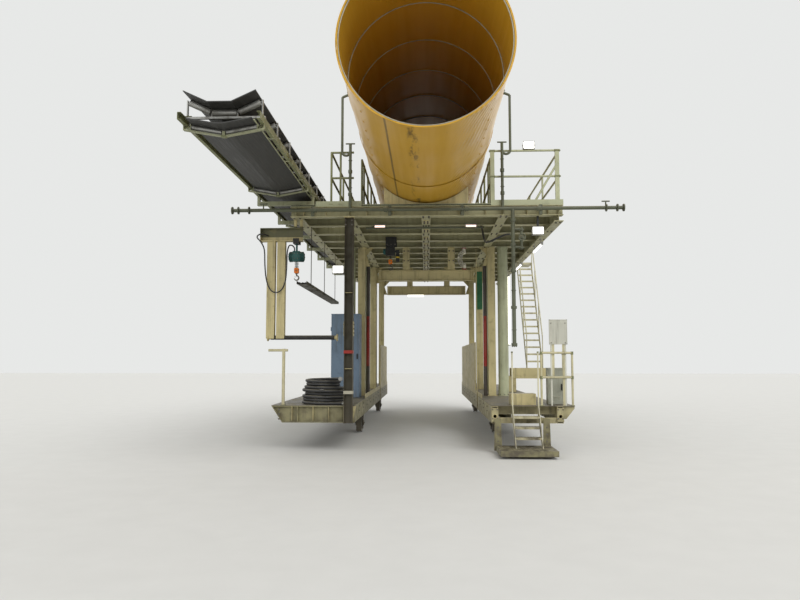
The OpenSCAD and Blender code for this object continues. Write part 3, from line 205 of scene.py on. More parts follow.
def paint(name, base, dust=0.6, streaks=0.38, wear=0.5, bands=()):
    """Site paint: mottled, streaked downwards, dusty on top and darker low down. bands are
    (z0, z1, colour) rings in other paint."""
    t = Nodes(name, base)
    mid, fine = t.noise(6.5, 5.0), t.noise(75.0, 2.0)
    t.cover(t.ramp(t.noise(1.1, 2.0), 0.35, 0.7), shade(base, 0.8))
    for z0, z1, other in bands:
        z = t.axis("Z")
        inside = t.times(t.math("GREATER_THAN", z, z0), t.math("LESS_THAN", z, z1))
        t.cover(inside, other)
    t.cover(t.times(t.ramp(mid, 0.52, 0.75), wear), shade(base, 0.45))
    run = t.ramp(t.noise(2.0, 4.0, (7, 7, 0.45)), 0.5, 0.72)
    t.cover(t.times(run, streaks), GRIME)
    spots = t.ramp(t.noise(14.0, 6.0, rough=0.7), 0.66, 0.74)
    t.cover(t.times(spots, wear), RUST)
    t.cover(t.times(t.up(0.35, 0.95), t.ramp(mid, 0.2, 0.7, dust * 0.5, dust)), DUST)
    # Darker towards the bottom, in the grime colour
    low = t.ramp(t.axis("Z"), 0.05, 1.25, 1.1, 0.0)
    t.cover(t.times(low, t.ramp(mid, 0.25, 0.7)), GRIME)
    t.bump(t.math("ADD", t.times(mid, 0.6), fine), 0.3, 0.003)
    return t.set(Roughness=t.ramp(mid, 0.3, 0.7, 0.43, 0.70), Specular_IOR_Level=0.4)


def metal(name, base, rough, dirt):
    """Bare steel with grime, rust spots and dust on top."""
    t = Nodes(name, base)
    mid, fine = t.noise(9.0, 5.0), t.noise(90.0, 2.0)
    t.cover(t.times(t.ramp(mid, 0.45, 0.7), dirt), GRIME)
    t.cover(t.times(t.ramp(t.noise(17.0, 6.0), 0.62, 0.72), dirt), RUST)
    t.cover(t.times(t.up(0.4, 0.95, 0.0, 0.5), mid), DUST)
    t.bump(fine, 0.2, 0.002)
    return t.set(Metallic=0.75, Roughness=t.ramp(mid, 0.3, 0.7, rough, rough + 0.25))


def chequer(name, base):
    """Chequer plate: short raised bars that alternate in direction, with dirt between them."""
    t = Nodes(name, base)
    x, y = t.axis("X"), t.axis("Y")
    along = t.math("SINE", t.times(t.math("ADD", x, y), 110.0))
    other = t.math("SINE", t.times(t.math("SUBTRACT", x, y), 110.0))
    bars = t.ramp(t.times(along, other), 0.25, 0.6)
    mid = t.noise(4.0, 5.0)
    t.cover(t.ramp(mid, 0.35, 0.7), DUST)
    t.cover(t.times(t.math("SUBTRACT", 1.0, bars), 0.6), GRIME)
    t.cover(t.times(t.ramp(t.noise(1.4, 3.0), 0.5, 0.75), 0.7), GRIME)
    t.bump(bars, 0.6, 0.004)
    return t.set(Metallic=0.35, Roughness=t.ramp(mid, 0.3, 0.7, 0.5, 0.8))


def grating(name, base, side):
    """The upper deck: a grating's bars with painted shade in the gaps between them, dusty above and in the
    side colour at its edges.
    """
    t = Nodes(name, base)
    bar_pitch, tie_pitch = 0.042, 0.105
    bars = t.math("MAXIMUM", t.math("SINE", t.times(t.axis("X"), 2 * math.pi / bar_pitch)),
                  t.math("SINE", t.times(t.axis("Y"), 2 * math.pi / tie_pitch)))
    mid = t.noise(3.0, 5.0)
    level = t.math("GREATER_THAN", t.math("ABSOLUTE", t.axis("Z", "Normal")), 0.5)
    bars = t.math("MAXIMUM", t.ramp(bars, 0.45, 0.8), t.math("SUBTRACT", 1.0, level))
    # Near black between the bars: painted shade seen through the grating's gaps
    t.colour = t.mix(bars, (0.035, 0.032, 0.024), t.mix(level, side, base))
    t.cover(t.times(t.up(0.2, 0.9), t.ramp(mid, 0.3, 0.7, 0.4, 0.9)), DUST)
    t.cover(t.times(t.ramp(mid, 0.5, 0.75), 0.6), GRIME)
    t.bump(bars, 0.7, 0.01)
    return t.set(Metallic=0.2, Roughness=0.72)


def rubber(name, base, rough, dust, stretch=None):
    t = Nodes(name, base)
    mid, fine = t.noise(5.0, 5.0, stretch), t.noise(130.0, 2.0)
    t.cover(t.ramp(mid, 0.4, 0.75), [c * 2.0 + 0.01 for c in base])
    t.cover(t.times(t.up(0.2, 0.95, 0.0, dust), t.ramp(mid, 0.25, 0.7)), DUST)
    t.bump(t.math("ADD", mid, t.times(fine, 0.3)), 0.25, 0.003)
    return t.set(Roughness=t.ramp(mid, 0.3, 0.7, rough - 0.1, rough + 0.2))


def duct_cloth(name, base):
    """Coated duct fabric: ochre, dusty on top, with a dark seam and two smears along its belly
    and slanting folds down its right side, darkened with painted shade in the folds."""
    t = Nodes(name, base)
    x, y, z = t.axis("X"), t.axis("Y"), t.axis("Z")
    runs, blotch = t.noise(1.3, 3.0, (3.0, 0.14, 3.0)), t.noise(0.8, 4.0)
    t.cover(t.ramp(runs, 0.3, 0.8, 0.0, 0.3), shade(base, 0.66))
    t.cover(t.ramp(blotch, 0.45, 0.8, 0.0, 0.35), (0.60, 0.37, 0.05))
    below = t.math("LESS_THAN", z, DUCT_Z * MM - 0.55)
    belly = t.times(below, t.up(-0.2, -0.6))
    smear = t.noise(7.0, 6.0, (1.0, 0.22, 1.0), 0.7)
    # Each line's place across the duct, its half width, where it breaks up and its strength
    lines = ((-0.55, 0.022, 0.25, 0.75), (-0.18, 0.10, 0.50, 0.8), (0.26, 0.05, 0.56, 0.6))
    for at, half, low, strength in lines:
        off = t.math("ABSOLUTE", t.math("ADD", x, -at))
        line = t.times(t.ramp(off, half, half * 0.4), t.ramp(smear, low, low + 0.13))
        t.cover(t.times(t.times(line, belly), strength), (0.075, 0.042, 0.010))
    top = t.times(t.math("GREATER_THAN", z, DUCT_Z * MM + 0.5), t.up(0.45, 0.98))
    t.cover(t.times(top, t.ramp(blotch, 0.2, 0.6, 0.25, 0.8)), DUST)
    slant = t.math("ADD", t.times(x, 5.2), t.times(y, 1.2))
    slant = t.math("ADD", slant, t.times(t.noise(0.7, 1.0, (1.0, 0.5, 1.0)), 2.2))
    creases_and_shade = t.math("ABSOLUTE", t.math("SINE", t.times(slant, 9.0)))
    creases_and_shade = t.times(t.times(creases_and_shade, belly), t.ramp(x, 0.30, 0.75))
    creases_and_shade = t.times(creases_and_shade, t.ramp(t.noise(0.9, 2.0), 0.36, 0.58))
    # Painted shade: the folds darkened to half the ochre
    t.cover(t.times(creases_and_shade, 0.3), shade(base, 0.5))
    t.bump(t.math("ADD", t.times(runs, 0.35), creases_and_shade), 0.6, 0.016)
    return t.set(Roughness=t.ramp(runs, 0.3, 0.75, 0.30, 0.50), Specular_IOR_Level=0.24,
                 Coat_Weight=0.06, Coat_Roughness=0.25)


def lit(name, colour, strength):
    t = Nodes(name, colour)
    t.cover(t.ramp(t.noise(20.0, 2.0), 0.2, 0.8), shade(colour, 0.92))
    return t.set(Emission_Color=t.colour, Emission_Strength=strength, Roughness=0.3)


CREAM = (0.52, 0.45, 0.23)
MAT = {
    "cream_paint": paint("cream", CREAM),
    "grey_green_paint": paint("grey_green", (0.195, 0.205, 0.10)),
    "pipe_green_paint": paint("pipe_green", (0.10, 0.11, 0.07), streaks=0.3),
    "dark_brown_paint": paint("dark_brown", (0.050, 0.043, 0.024), streaks=0.3),
    "red_paint": paint("standpipe", (0.055, 0.045, 0.035), streaks=0.4,
                       bands=[(1.60, 2.83, (0.26, 0.017, 0.01))]),
    "teal_paint": paint("teal", (0.02, 0.10, 0.09), dust=0.4, streaks=0.2),
    "orange_paint": paint("orange", (0.75, 0.19, 0.012), dust=0.35, streaks=0.2),
    "black_paint": paint("black", (0.02, 0.02, 0.019), dust=0.4, streaks=0.2),
    "grey_paint": paint("grey", (0.36, 0.37, 0.30), dust=0.5, streaks=0.3, wear=0.3),
    "blue_grey_paint": paint("blue_grey", (0.155, 0.22, 0.30), dust=0.5, streaks=0.35, wear=0.3),
    "plate_steel": chequer("chequer_plate", (0.16, 0.15, 0.125)),
    "wheel_steel": metal("wheel_steel", (0.22, 0.20, 0.18), 0.4, 0.7),
    "roll_steel": metal("roll_steel", (0.35, 0.35, 0.33), 0.42, 0.45),
    "duct_fabric": duct_cloth("duct_cloth", (0.55, 0.31, 0.026)),
    "belt_rubber": rubber("belt_rubber", (0.026, 0.026, 0.024), 0.62, 0.4, (9.0, 0.35, 9.0)),
    "hose_rubber": rubber("hose_rubber", (0.015, 0.015, 0.015), 0.5, 0.35),
    "sign_metal": paint("sign_white", (0.55, 0.55, 0.47), dust=0.3, streaks=0.4, wear=0.15),
    "lamp_body": paint("lamp_body", (0.42, 0.42, 0.40), dust=0.4, streaks=0.25, wear=0.2),
    "lamp_tube": lit("lamp_tube", (0.95, 0.93, 0.82), 1.6),
}
PALE_GREEN = paint("pale_green", (0.43, 0.45, 0.29), dust=0.5, streaks=0.35, wear=0.3)
PALE_CREAM = paint("pale_cream", (0.52, 0.48, 0.30), dust=0.5, streaks=0.5, wear=0.4)
# A darker copy of the cream paint, for the left deck and the foot platform
DECK = paint("dark_deck", (0.25, 0.23, 0.12), dust=0.5, streaks=0.4, wear=0.7)
STAIR = paint("pale_stair", (0.60, 0.57, 0.40), dust=0.5, streaks=0.4, wear=0.35)
GLOW = lit("lamp_face", (1.0, 0.99, 0.94), 3.0)
WARM = lit("warm_strip", (1.0, 0.72, 0.62), 1.8)
BOLT = metal("bolt_steel", (0.16, 0.15, 0.13), 0.5, 0.6)
YELLOW = paint("yellow", (0.62, 0.42, 0.03), dust=0.4, streaks=0.3)
RED = paint("red", (0.30, 0.02, 0.012), dust=0.4, streaks=0.3)
PALE = rubber("pale_hose", (0.42, 0.40, 0.33), 0.55, 0.3)
STRIP_GREEN = paint("strip_green", (0.03, 0.17, 0.07), dust=0.3, streaks=0.4)
BAND = paint("band", (0.38, 0.36, 0.28), dust=0.4, streaks=0.3)

# Nodes that look unlike the rest of their material slot
LOOKS = {
    "round_columns": PALE_GREEN,
    "upper_rails_right": PALE_GREEN,
    "deck_rails": PALE_CREAM,
    "rear_stair": STAIR,
    "upper_stair": STAIR,
    "left_deck_frame": DECK,
    "foot_platform": DECK,
    "upper_frame": paint("upper_frame", (0.41, 0.39, 0.225), streaks=0.25, wear=0.4),
    "right_deck_frame": paint("right_deck", (0.38, 0.34, 0.185), dust=0.5, streaks=0.4, wear=0.6),
    "conveyor_frame": paint("bracket_green", (0.33, 0.34, 0.21), dust=0.5, streaks=0.4),
    "jib_frame": paint("jib", CREAM, bands=[(4.19, 4.40, (0.11, 0.11, 0.055))]),
    "upper_floor": grating("deck_grating", (0.17, 0.16, 0.12), (0.40, 0.42, 0.28)),
}

slot_of = {s["node"]: s["material_slot"] for s in frame["record"]["subparts"]}
for node_name, node in NODES.items():
    node.data.materials.clear()
    node.data.materials.append(LOOKS.get(node_name, MAT[slot_of[node_name]]))


# Shapes

def angles(n):
    return [2 * math.pi * i / n for i in range(n)]


def across(axis):
    """Two directions that are square to an axis and to each other."""
    u = axis.cross(Vector((0, 0, 1) if abs(axis.z) < 0.9 else (1, 0, 0))).normalized()
    return u, axis.cross(u)


class Shape:
    """Gathers faces, in the construction frame's millimetres, for one object."""

    def __init__(self):
        self.points, self.faces = [], []

    def add(self, points, faces):
        n = len(self.points)
        self.points += [world(*p) for p in points]
        self.faces += [tuple(i + n for i in f) for f in faces]

    def box(self, x0, x1, y0, y1, z0, z1):
        limits = [sorted(pair) for pair in ((z0, z1), (y0, y1), (x0, x1))]
        self.add([(x, y, z) for z, y, x in product(*limits)],
                 [(0, 2, 3, 1), (4, 5, 7, 6), (0, 1, 5, 4), (1, 3, 7, 5), (3, 2, 6, 7), (2, 0, 4, 6)])

    def prism(self, outline, along, start, end):
        """Extrudes an outline along an axis. Its two coordinates are the other axes in order."""
        k = "xyz".index(along)
        n = len(outline)
        self.add([(*p[:k], at, *p[k:]) for at in (start, end) for p in outline],
                 [tuple(range(n))[::-1], tuple(range(n, 2 * n))]
                 + [(i, (i + 1) % n, (i + 1) % n + n, i + n) for i in range(n)])

    def tube(self, line, r, n=10, closed=False, radii=None):
        """A tube along a line of points, with flat ends."""
        line = [Vector(p) for p in line]
        m = len(line)
        points, side = [], None
        for i in range(m):
            before = line[i - 1] if i or closed else line[i]
            after = line[(i + 1) % m] if i < m - 1 or closed else line[i]
            t = (after - before).normalized()
            side = side or across(t)[0]
            side = (side - t * side.dot(t)).normalized()
            up = t.cross(side)
            radius = radii[i] if radii else r
            points += [line[i] + (side * math.cos(a) + up * math.sin(a)) * radius for a in angles(n)]
        faces = []
        for i in range(m if closed else m - 1):
            a, b = i * n, (i + 1) % m * n
            faces += [(a + j, a + (j + 1) % n, b + (j + 1) % n, b + j) for j in range(n)]
        if not closed:
            faces += [tuple(range(n))[::-1], tuple(range((m - 1) * n, m * n))]
        self.add(points, faces)

    def rod(self, a, b, r, n=12, r2=None):
        self.tube([a, b], r, n, radii=[r, r if r2 is None else r2])

    def circle(self, centre, axis, big, count):
        """Points spread evenly round a circle about an axis of length 1."""
        u, v = across(Vector(axis))
        return [Vector(centre) + (u * math.cos(a) + v * math.sin(a)) * big for a in angles(count)]

    def ring(self, centre, axis, big, r, n=24, m=8):
        self.tube(self.circle(centre, axis, big, n), r, m, closed=True)

    def bolt(self, at, axis, r=20, h=16):
        """A washer and a hexagonal head."""
        at, axis = Vector(at), Vector(axis)
        self.rod(at, at + axis * 4, r * 1.3, 10)
        self.rod(at + axis * 4, at + axis * h, r, 6)

    def bolts(self, xs, ys, zs, axis, r, h):
        """A bolt wherever the given places cross."""
        for at in product(xs, ys, zs):
            self.bolt(at, axis, r, h)

    def bolt_circle(self, centre, axis, big, count, r, h):
        for at in self.circle(centre, axis, big, count):
            self.bolt(at, axis, r, h)

    def done(self, name, slot, look=None, body="gantry", bevel=0.0, replaces=()):
        """Makes the object, with its slot's own material unless another look is given."""
        mesh = bpy.data.meshes.new(name)
        mesh.from_pydata(self.points, [], self.faces)
        bm = bmesh.new()
        bm.from_mesh(mesh)
        bmesh.ops.recalc_face_normals(bm, faces=bm.faces)
        bm.to_mesh(mesh)
        bm.free()
        mesh.shade_smooth()
        mesh.set_sharp_from_angle(angle=math.radians(36))
        mesh.materials.append(look or MAT[slot])
        obj = add_object(name, mesh)
        if bevel:
            m = obj.modifiers.new("bevel", "BEVEL")
            m.width, m.segments, m.limit_method, m.angle_limit = bevel * MM, 1, "ANGLE", math.radians(40)
        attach(obj, body)
        if replaces:
            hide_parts(*replaces)


def smooth_line(points, steps):
    """A Catmull-Rom curve through the points."""
    p = [Vector(q) for q in points]
    p = [p[0] * 2 - p[1]] + p + [p[-1] * 2 - p[-2]]
    line = []
    for i in range(1, len(p) - 2):
        for s in range(steps):
            t = s / steps
            line.append(0.5 * (2 * p[i] + (p[i + 1] - p[i - 1]) * t
                               + (2 * p[i - 1] - 5 * p[i] + 4 * p[i + 1] - p[i + 2]) * t * t
                               + (3 * p[i] - p[i - 1] - 3 * p[i + 1] + p[i + 2]) * t ** 3))
    return line + [p[-2]]


# Cords

def cord(name, line, r, replaces):
    """A round hose or cable along a line of points in the construction frame."""
    points = [world(*p) for p in line]
    data = bpy.data.curves.new(name, "CURVE")
    data.dimensions, data.bevel_depth, data.bevel_resolution, data.use_fill_caps = "3D", r * MM, 3, True
    spline = data.splines.new("POLY")
    spline.points.add(len(points) - 1)
    for p, q in zip(spline.points, points):
        p.co = (*q, 1.0)
    spline.use_smooth = True
    data.materials.append(MAT["hose_rubber"])
    obj = add_object(name, data)
    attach(obj, "gantry")
    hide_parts(*replaces)


HOSE_R, COIL_R, COIL_TOP_R, COIL_LOW_N, COIL_N = 30, 400, 340, 4, 7.75
COIL_X, COIL_Y, HOSE_Z, TAP_X = -2050, 560, 890.3, -1640
TURN_POINTS, STRAY, DRIFT = 48, 70, 55


def hose_line():
    """From the tap to the heap and round its turns, the last ones tighter. The turns lie loosely:
    each strays outwards or inwards, but the ends keep to their fittings."""
    line = [(TAP_X - 40 * i, COIL_Y - COIL_R, HOSE_Z) for i in range(10)]
    for i in range(int(COIL_N * TURN_POINTS) + 1):
        n = i / TURN_POINTS
        shrink = min(max(n - COIL_LOW_N, 0.0), 1.0)
        shrink = shrink * shrink * (3 - 2 * shrink)
        loose = min(1.0, n / 0.7, (COIL_N - n) / 0.6)
        stray = STRAY * loose * noise.noise(Vector((0.9 * n, 1.7, 0.3)))
        r = COIL_R + (COIL_TOP_R - COIL_R) * shrink + stray
        a = math.radians(-90 - 360 * n)
        drift = [DRIFT * loose * noise.noise(Vector((0.45 * n, k, 7.7))) for k in (3.1, 8.6)]
        line.append((COIL_X + drift[0] + r * math.cos(a), COIL_Y + drift[1] + r * math.sin(a),
                     HOSE_Z + 2 * HOSE_R * n))
    return line


cord("water_hose", hose_line(), HOSE_R, ["hose_coil", "hose_run"])

cable_points = [
    (-3150, 234.7, 4195), (-3150, 195, 4195), (-3210, 140, 4212), (-3300, 130, 4208), (-3345, 130, 4150),
    (-3270, 130, 4060), (-3195, 130, 3900), (-3180, 130, 3600), (-3150, 130, 3330), (-3080, 130, 3130),
    (-2960, 130, 3050), (-2840, 130, 3110), (-2765, 130, 3300), (-2745, 130, 3600), (-2740, 140, 3850),
    (-2715, 185, 3985), (-2660, 228, 3998), (-2618, 240, 3945), (-2618, 240, 3880.3)]
cord("hoist_feed_cable", smooth_line(cable_points, 3), 13, ["hoist_cable"])
spray_hose_points = [
    (1140, 850, 4471), (1140, 815, 4467), (1141, 781, 4455), (1142, 751, 4436), (1143, 724, 4410),
    (1147, 680, 4355), (1151, 625, 4287), (1156, 570, 4219), (1163, 512, 4155), (1174, 452, 4106),
    (1188, 386, 4074), (1209, 318, 4058), (1238, 250, 4053), (1275, 182, 4057), (1314, 118, 4068),
    (1358, 58, 4082), (1402, 0, 4094), (1445, -54, 4108), (1489, -104, 4119), (1540, -137, 4128),
    (1599.5, -150, 4130)]
cord("spray_feed_hose", smooth_line(spray_hose_points, 2), 20, ["spray_hose"])


# Stage and light

FLOOR_HALF = 70
floor_mesh = bpy.data.meshes.new("floor")
floor_mesh.from_pydata([(x * FLOOR_HALF, y * FLOOR_HALF, 0) for x, y in ((-1, -1), (1, -1), (1, 1), (-1, 1))],
                       [], [(0, 1, 2, 3)])
add_object("floor", floor_mesh)
pale = Nodes("floor_pale", (0.60, 0.60, 0.58))
pale.cover(pale.noise(2.0, 4.0), (0.66, 0.66, 0.64))
floor_mesh.materials.append(pale.set(Roughness=0.9))

# The world lights the object, and shows camera, glossy and transmission rays a pale backdrop
sky = bpy.data.worlds.new("studio")
bpy.context.scene.world = sky
sky.use_nodes = True
tree = sky.node_tree
tree.nodes.clear()
rays = new_node(tree, "LightPath").outputs
either = new_node(tree, "Math", rays["Is Camera Ray"], rays["Is Glossy Ray"])
seen = new_node(tree, "Math", either.outputs[0], rays["Is Transmission Ray"])
either.operation = seen.operation = "MAXIMUM"
light = new_node(tree, "Background", (1.0, 0.99, 0.96, 1.0), 0.62)
backdrop = new_node(tree, "Background", (0.80, 0.81, 0.80, 1.0), 1.0)
blend = new_node(tree, "MixShader", seen.outputs[0], light.outputs[0], backdrop.outputs[0])
new_node(tree, "OutputWorld", blend.outputs[0])


def sun(name, azimuth, elevation, strength, angle):
    """A soft lamp that shines from a compass direction, 0 behind the viewer's back."""
    data = bpy.data.lights.new(name, "SUN")
    data.energy, data.angle = strength, math.radians(angle)
    add_object(name, data).rotation_euler = (math.radians(90 - elevation), 0.0, math.radians(azimuth))


sun("key", 28, 38, 1.7, 40)
sun("fill", -42, 22, 0.8, 60)
sun("back", 170, 35, 0.6, 60)
bpy.context.scene.view_settings.view_transform = "Standard"


# Duct

HOOP_PITCH = 1250
JOINTS = [DUCT_Y0 + off for off in (3250, 8250, 13250)]


def duct_skin():
    """The fabric tube: it bulges a little between its hoops, is creased along its length, and
    puckers at each joint between lengths."""
    around, step, cloth = 132, 62.5, 14
    seams = (26, 106)
    rows = int((DUCT_Y1 - DUCT_Y0) / step)
    points, faces = [], []
    for i in range(rows + 1):
        y = DUCT_Y0 + (DUCT_Y1 - DUCT_Y0) * i / rows
        sag = -9 * math.sin(math.pi * ((y - DUCT_Y0) % HOOP_PITCH) / HOOP_PITCH) ** 2
        at_joint = min(abs(y - j) for j in JOINTS)
        for j, a in enumerate(angles(around)):
            x, z = math.sin(a), math.cos(a)
            crease = noise.noise(Vector((x * 7.0, y * 0.0011, z * 7.0))) * 7
            crease += noise.noise(Vector((x * 2.4 + 9, y * 0.0021, z * 2.4))) * 5
            pucker = noise.noise(Vector((x * 16, y * 0.004, z * 16))) * 4 * max(0.0, 1 - at_joint / 260)
            seam = 4 if j in seams else 0
            # The saddles carry the belly, so there it keeps its shape
            r = DUCT_R - 6 + sag + crease * (0.35 if z < -0.93 else 1.0) + pucker + seam
            r = min(r, DUCT_R - 1) if z < -0.7 else r
            points.append((r * x, y, DUCT_Z + r * z))
    for i, j in product(range(rows), range(around)):
        a, b = i * around + j, i * around + (j + 1) % around
        faces.append((a, a + around, b + around, b))
    # The cloth's thickness at both ends, and the plain inside
    outer = len(points)
    k = 1 - cloth / DUCT_R
    for row, j in product((0, rows), range(around)):
        x, y, z = points[row * around + j]
        points.append((x * k, y, DUCT_Z + (z - DUCT_Z) * k))
    for row, base, flip in ((0, outer, False), (rows, outer + around, True)):
        for j in range(around):
            q = (row * around + j, row * around + (j + 1) % around, base + (j + 1) % around, base + j)
            faces.append(q[::-1] if flip else q)
    for j in range(around):
        a, b = outer + j, outer + (j + 1) % around
        faces.append((a, b, b + around, a + around))
    shape = Shape()
    shape.add(points, faces)
    shape.done("duct_skin", "duct_fabric", replaces=["duct"])


def duct_trim():
    """Bands at the joints and the ends, a row of eyelets low on each side, and the hoops inside."""
    trim = Shape()
    n = 96
    for y, half in [(j, 45) for j in JOINTS] + [(DUCT_Y0 + 30, 30), (DUCT_Y1 - 30, 30)]:
        points, faces = [], []
        for off, rise in ((-half, -4), (-half, 5), (half, 5), (half, -4)):
            for a in angles(n):
                x, z = math.sin(a), math.cos(a)
                # Flush over the saddles
                r = DUCT_R + (rise if z > -0.86 else min(rise, -0.5))
                points.append((x * r, y + off, DUCT_Z + z * r))
        for k, m in product(range(3), range(n)):
            a, b = k * n, (k + 1) * n
            faces.append((a + m, a + (m + 1) % n, b + (m + 1) % n, b + m))
        trim.add(points, faces)
    a = math.radians(131)
    for side in (-1, 1):
        x, z = side * math.sin(a), math.cos(a)
        for y in range(DUCT_Y0 + 90, DUCT_Y1 - 60, 420):
            trim.ring((x * (DUCT_R + 1), y, DUCT_Z + z * (DUCT_R + 1)), (x, 0, z), 17, 4, 12, 5)
    trim.done("duct_trim", "duct_fabric")
    hoops = Shape()
    for k in range(14):
        y = min(DUCT_Y0 + 14 + k * HOOP_PITCH, DUCT_Y1 - 14)
        hoops.ring((0, y, DUCT_Z), (0, 1, 0), DUCT_R - 30, 9, 64, 6)
    hoops.done("duct_hoops", "duct_fabric", BAND)


duct_skin()
duct_trim()


# Steel details

def crossbeam_details(plates, bolts):
    """Stiffeners in the crossbeams' webs, bolts below them, and the splices of the middle beam."""
    z0, z1 = PORTAL_H + 15, UPPER_TOP - 15
    for i in range(BAYS + 1):
        y = i * BAY
        for side in (-1, 1) if i == 0 else (1,):
            for x in (-2385, -1950, -1150, -640, 640, 1150, 1950, 2350):
                # The hoist trolley runs along this stretch of the crossbeam
                if i == 3 and -1400 < x < -100:
                    continue
                plates.box(x - 5, x + 5, y + side * 5, y + side * 80, z0, z1)
        for x in (-1500, 0, 1500):
            bolts.bolts((x - 55, x + 55), (y - 60, y + 60), (PORTAL_H,), DOWN, 17, 18)
        bolts.bolts((-2590, -2480), (y + 55,), (PORTAL_H,), DOWN, 17, 18)
        bolts.bolts((2520, 2600), (y + 55,), (UPPER_TOP - 320,), DOWN, 17, 18)
    for i in range(BAYS):
        y = (i + 0.5) * BAY
        plates.box(-60, 60, y - 150, y + 150, PORTAL_H - 14, PORTAL_H)
        bolts.bolts((-35, 35), (y - 110, y - 40, y + 40, y + 110), (PORTAL_H - 14,), DOWN, 14, 15)


def portal_details(plates, bolts):
    """Base bolts, knee gussets and cap bolts of the posts and columns, and the hung frames' plates."""
    for y, s in product(PORTAL_Y, (-1, 1)):
        x = s * POST_X
        bolts.bolts((x - 98, x + 98), (y - 98, y + 98), (DECK_H + 20,), UP, 9, 22)
        for side in (-1, 1):
            bolts.bolt((x - 60, y + side * 87.3, PORTAL_H - 14), (0, side, 0), 10, 14)
        plates.prism([(x - 90 * s, PORTAL_H - 210), (x - 90 * s, PORTAL_H), (x - 290 * s, PORTAL_H)],
                     "y", y - 6, y + 6)
        bolts.bolt_circle((s * COLUMN_X, y, DECK_H + 20), UP, 137, 8, 10, 24)
        bolts.bolt_circle((s * COLUMN_X, y, PORTAL_H - 60), DOWN, 130, 8, 6, 14)
    for y in PORTAL_Y[:2]:
        for x in (-495, 620):
            bolts.bolts((x - 50, x + 50), (y - 40,), (4180, 4420), REAR, 15, 14)
            plates.box(x - 95, x + 95, y - 46, y + 46, 3940, 3954)
        for x in (-1120, 1120):
            plates.box(x - 5, x + 5, y - 66, y + 66, 3692, 3928)


def rear_post_details(plates, bolts):
    """Gusset, end plate, stiffeners and splice of the H section."""
    x = REAR_POST_X
    plates.prism([(x + 86, 560), (x + 86, 850), (x + 150, 850)], "y", -8, 8)
    plates.box(x - 100, x + 100, -100, 90, PORTAL_H - 16, PORTAL_H)
    for z in (1560, 3020):
        plates.box(x - 71, x + 71, -84, -6, z, z + 10)
    bolts.bolts((x - 60, x + 60), (-100,), (PORTAL_H - 162, PORTAL_H - 78), REAR, 12, 14)
    for side in (-1, 1):
        bolts.bolts((x + side * 92,), (-45, 45), (2250, 2330, 2410), (side, 0, 0), 13, 14)
        plates.box(x + side * 85, x + side * 93, -80, 80, 2190, 2470)


def frame_details():
    plates, bolts = Shape(), Shape()
    crossbeam_details(plates, bolts)
    portal_details(plates, bolts)
    rear_post_details(plates, bolts)
    plates.done("frame_plates", "cream_paint", bevel=2)
    bolts.done("frame_bolts", "roll_steel", BOLT)
    bands = (("post_band_red", "red_paint", RED, 1855), ("post_band_pale", "cream_paint", BAND, 1085))
    for name, slot, look, z in bands:
        band = Shape()
        band.box(REAR_POST_X - 89, REAR_POST_X + 89, -94, 94, z, z + 60)
        band.done(name, slot, look, bevel=2)
    cover = Shape()
    cover.box(1520, 1676, 7504, 7510, 3226, 4370)
    cover.bolts((1600,), (7504,), (3300, 3800, 4300), REAR, 12, 10)
    cover.done("post_cover_green", "grey_green_paint", STRIP_GREEN)


def deck_details():
    """End stiffeners, flange bolts, kerbs and the tow ears' pin heads."""
    plates, bolts = Shape(), Shape()
    for x in (-1600, -1890, -2190, -2600):
        plates.box(x - 6, x + 6, DECK_Y0 + 2, DECK_Y0 + 60, 560, 834)
    bolts.bolts((-1450, -1545, -2850), (DECK_Y0,), (600, 690, 780), REAR, 14, 14)
    for i in range(1, BAYS):
        for x, side in ((LEFT_IN, 1), (RIGHT_IN, -1), (RIGHT_OUT, 1)):
            bolts.bolts((x,), (DECK_Y0 + i * BAY,), (700, 790), (side, 0, 0), 14, 14)
    # Right deck: ribs and bolts round the holed plates
    for x in (1300, 2540):
        bolts.bolts((x - 45, x + 45), (DECK_Y0 - 30,), (620, 790), REAR, 11, 12)
        plates.ring((x, DECK_Y0 - 32, 660), (0, 1, 0), 40, 7, 24, 6)
    for x in (1560, 1880, 2200):
        plates.box(x - 6, x + 6, DECK_Y0 + 2, DECK_Y0 + 150, 560, 640)
    bolts.bolts((2790,), (130, 700, 1100), (DECK_H,), UP, 9, 10)
    # A kerb along the passage side of both decks
    for x in (-1400, 1240):
        plates.box(x, x + 10, 2500, DECK_Y1 - 40, DECK_H, DECK_H + 100)
    # The foot platform's bolts and the tow pins' heads
    bolts.bolts((1350, 2270), (DECK_Y0 - 60,), (200, 330, 460), REAR, 13, 12)
    for x, z in product((-1690, 1690), (605, 750)):
        bolts.rod((x, TOW_PIN_Y, z), (x, TOW_PIN_Y, z + 25), 36, 16)
    plates.done("deck_plates", "cream_paint", bevel=2)
    bolts.done("deck_bolts", "roll_steel", BOLT)


def tread_details():
    """Nosings on both stairs, and bars on the rear stair's treads and the foot platform."""
    tread = Shape()
    for i in range(1, 4):
        z, y = DECK_H - i * RISER, DECK_Y0 - i * RISER / STAIR_TAN
        tread.box(1645, 2105, y - 126, y - 119, z - 40, z + 3)
        for k in range(9):
            x = 1662 + k * 53
            tread.box(x, x + 8, y - 118, y + 56, z, z + 4)
    for k in range(17):
        x = 1330 + k * 61
        tread.box(x, x + 9, DECK_Y0 - 890, DECK_Y0 - 75, FOOT_Z, FOOT_Z + 4)
    rise = (UPPER_FLOOR - LANDING_Z) / STAIR_N
    for i in range(1, STAIR_N):
        y, z = STAIR_Y0 + i * rise / STAIR_TAN, LANDING_Z + i * rise
        tread.box(2846, 3274, y - 95, y - 89, z - 46, z + 3)
    tread.done("tread_bars", "cream_paint", PALE_CREAM)


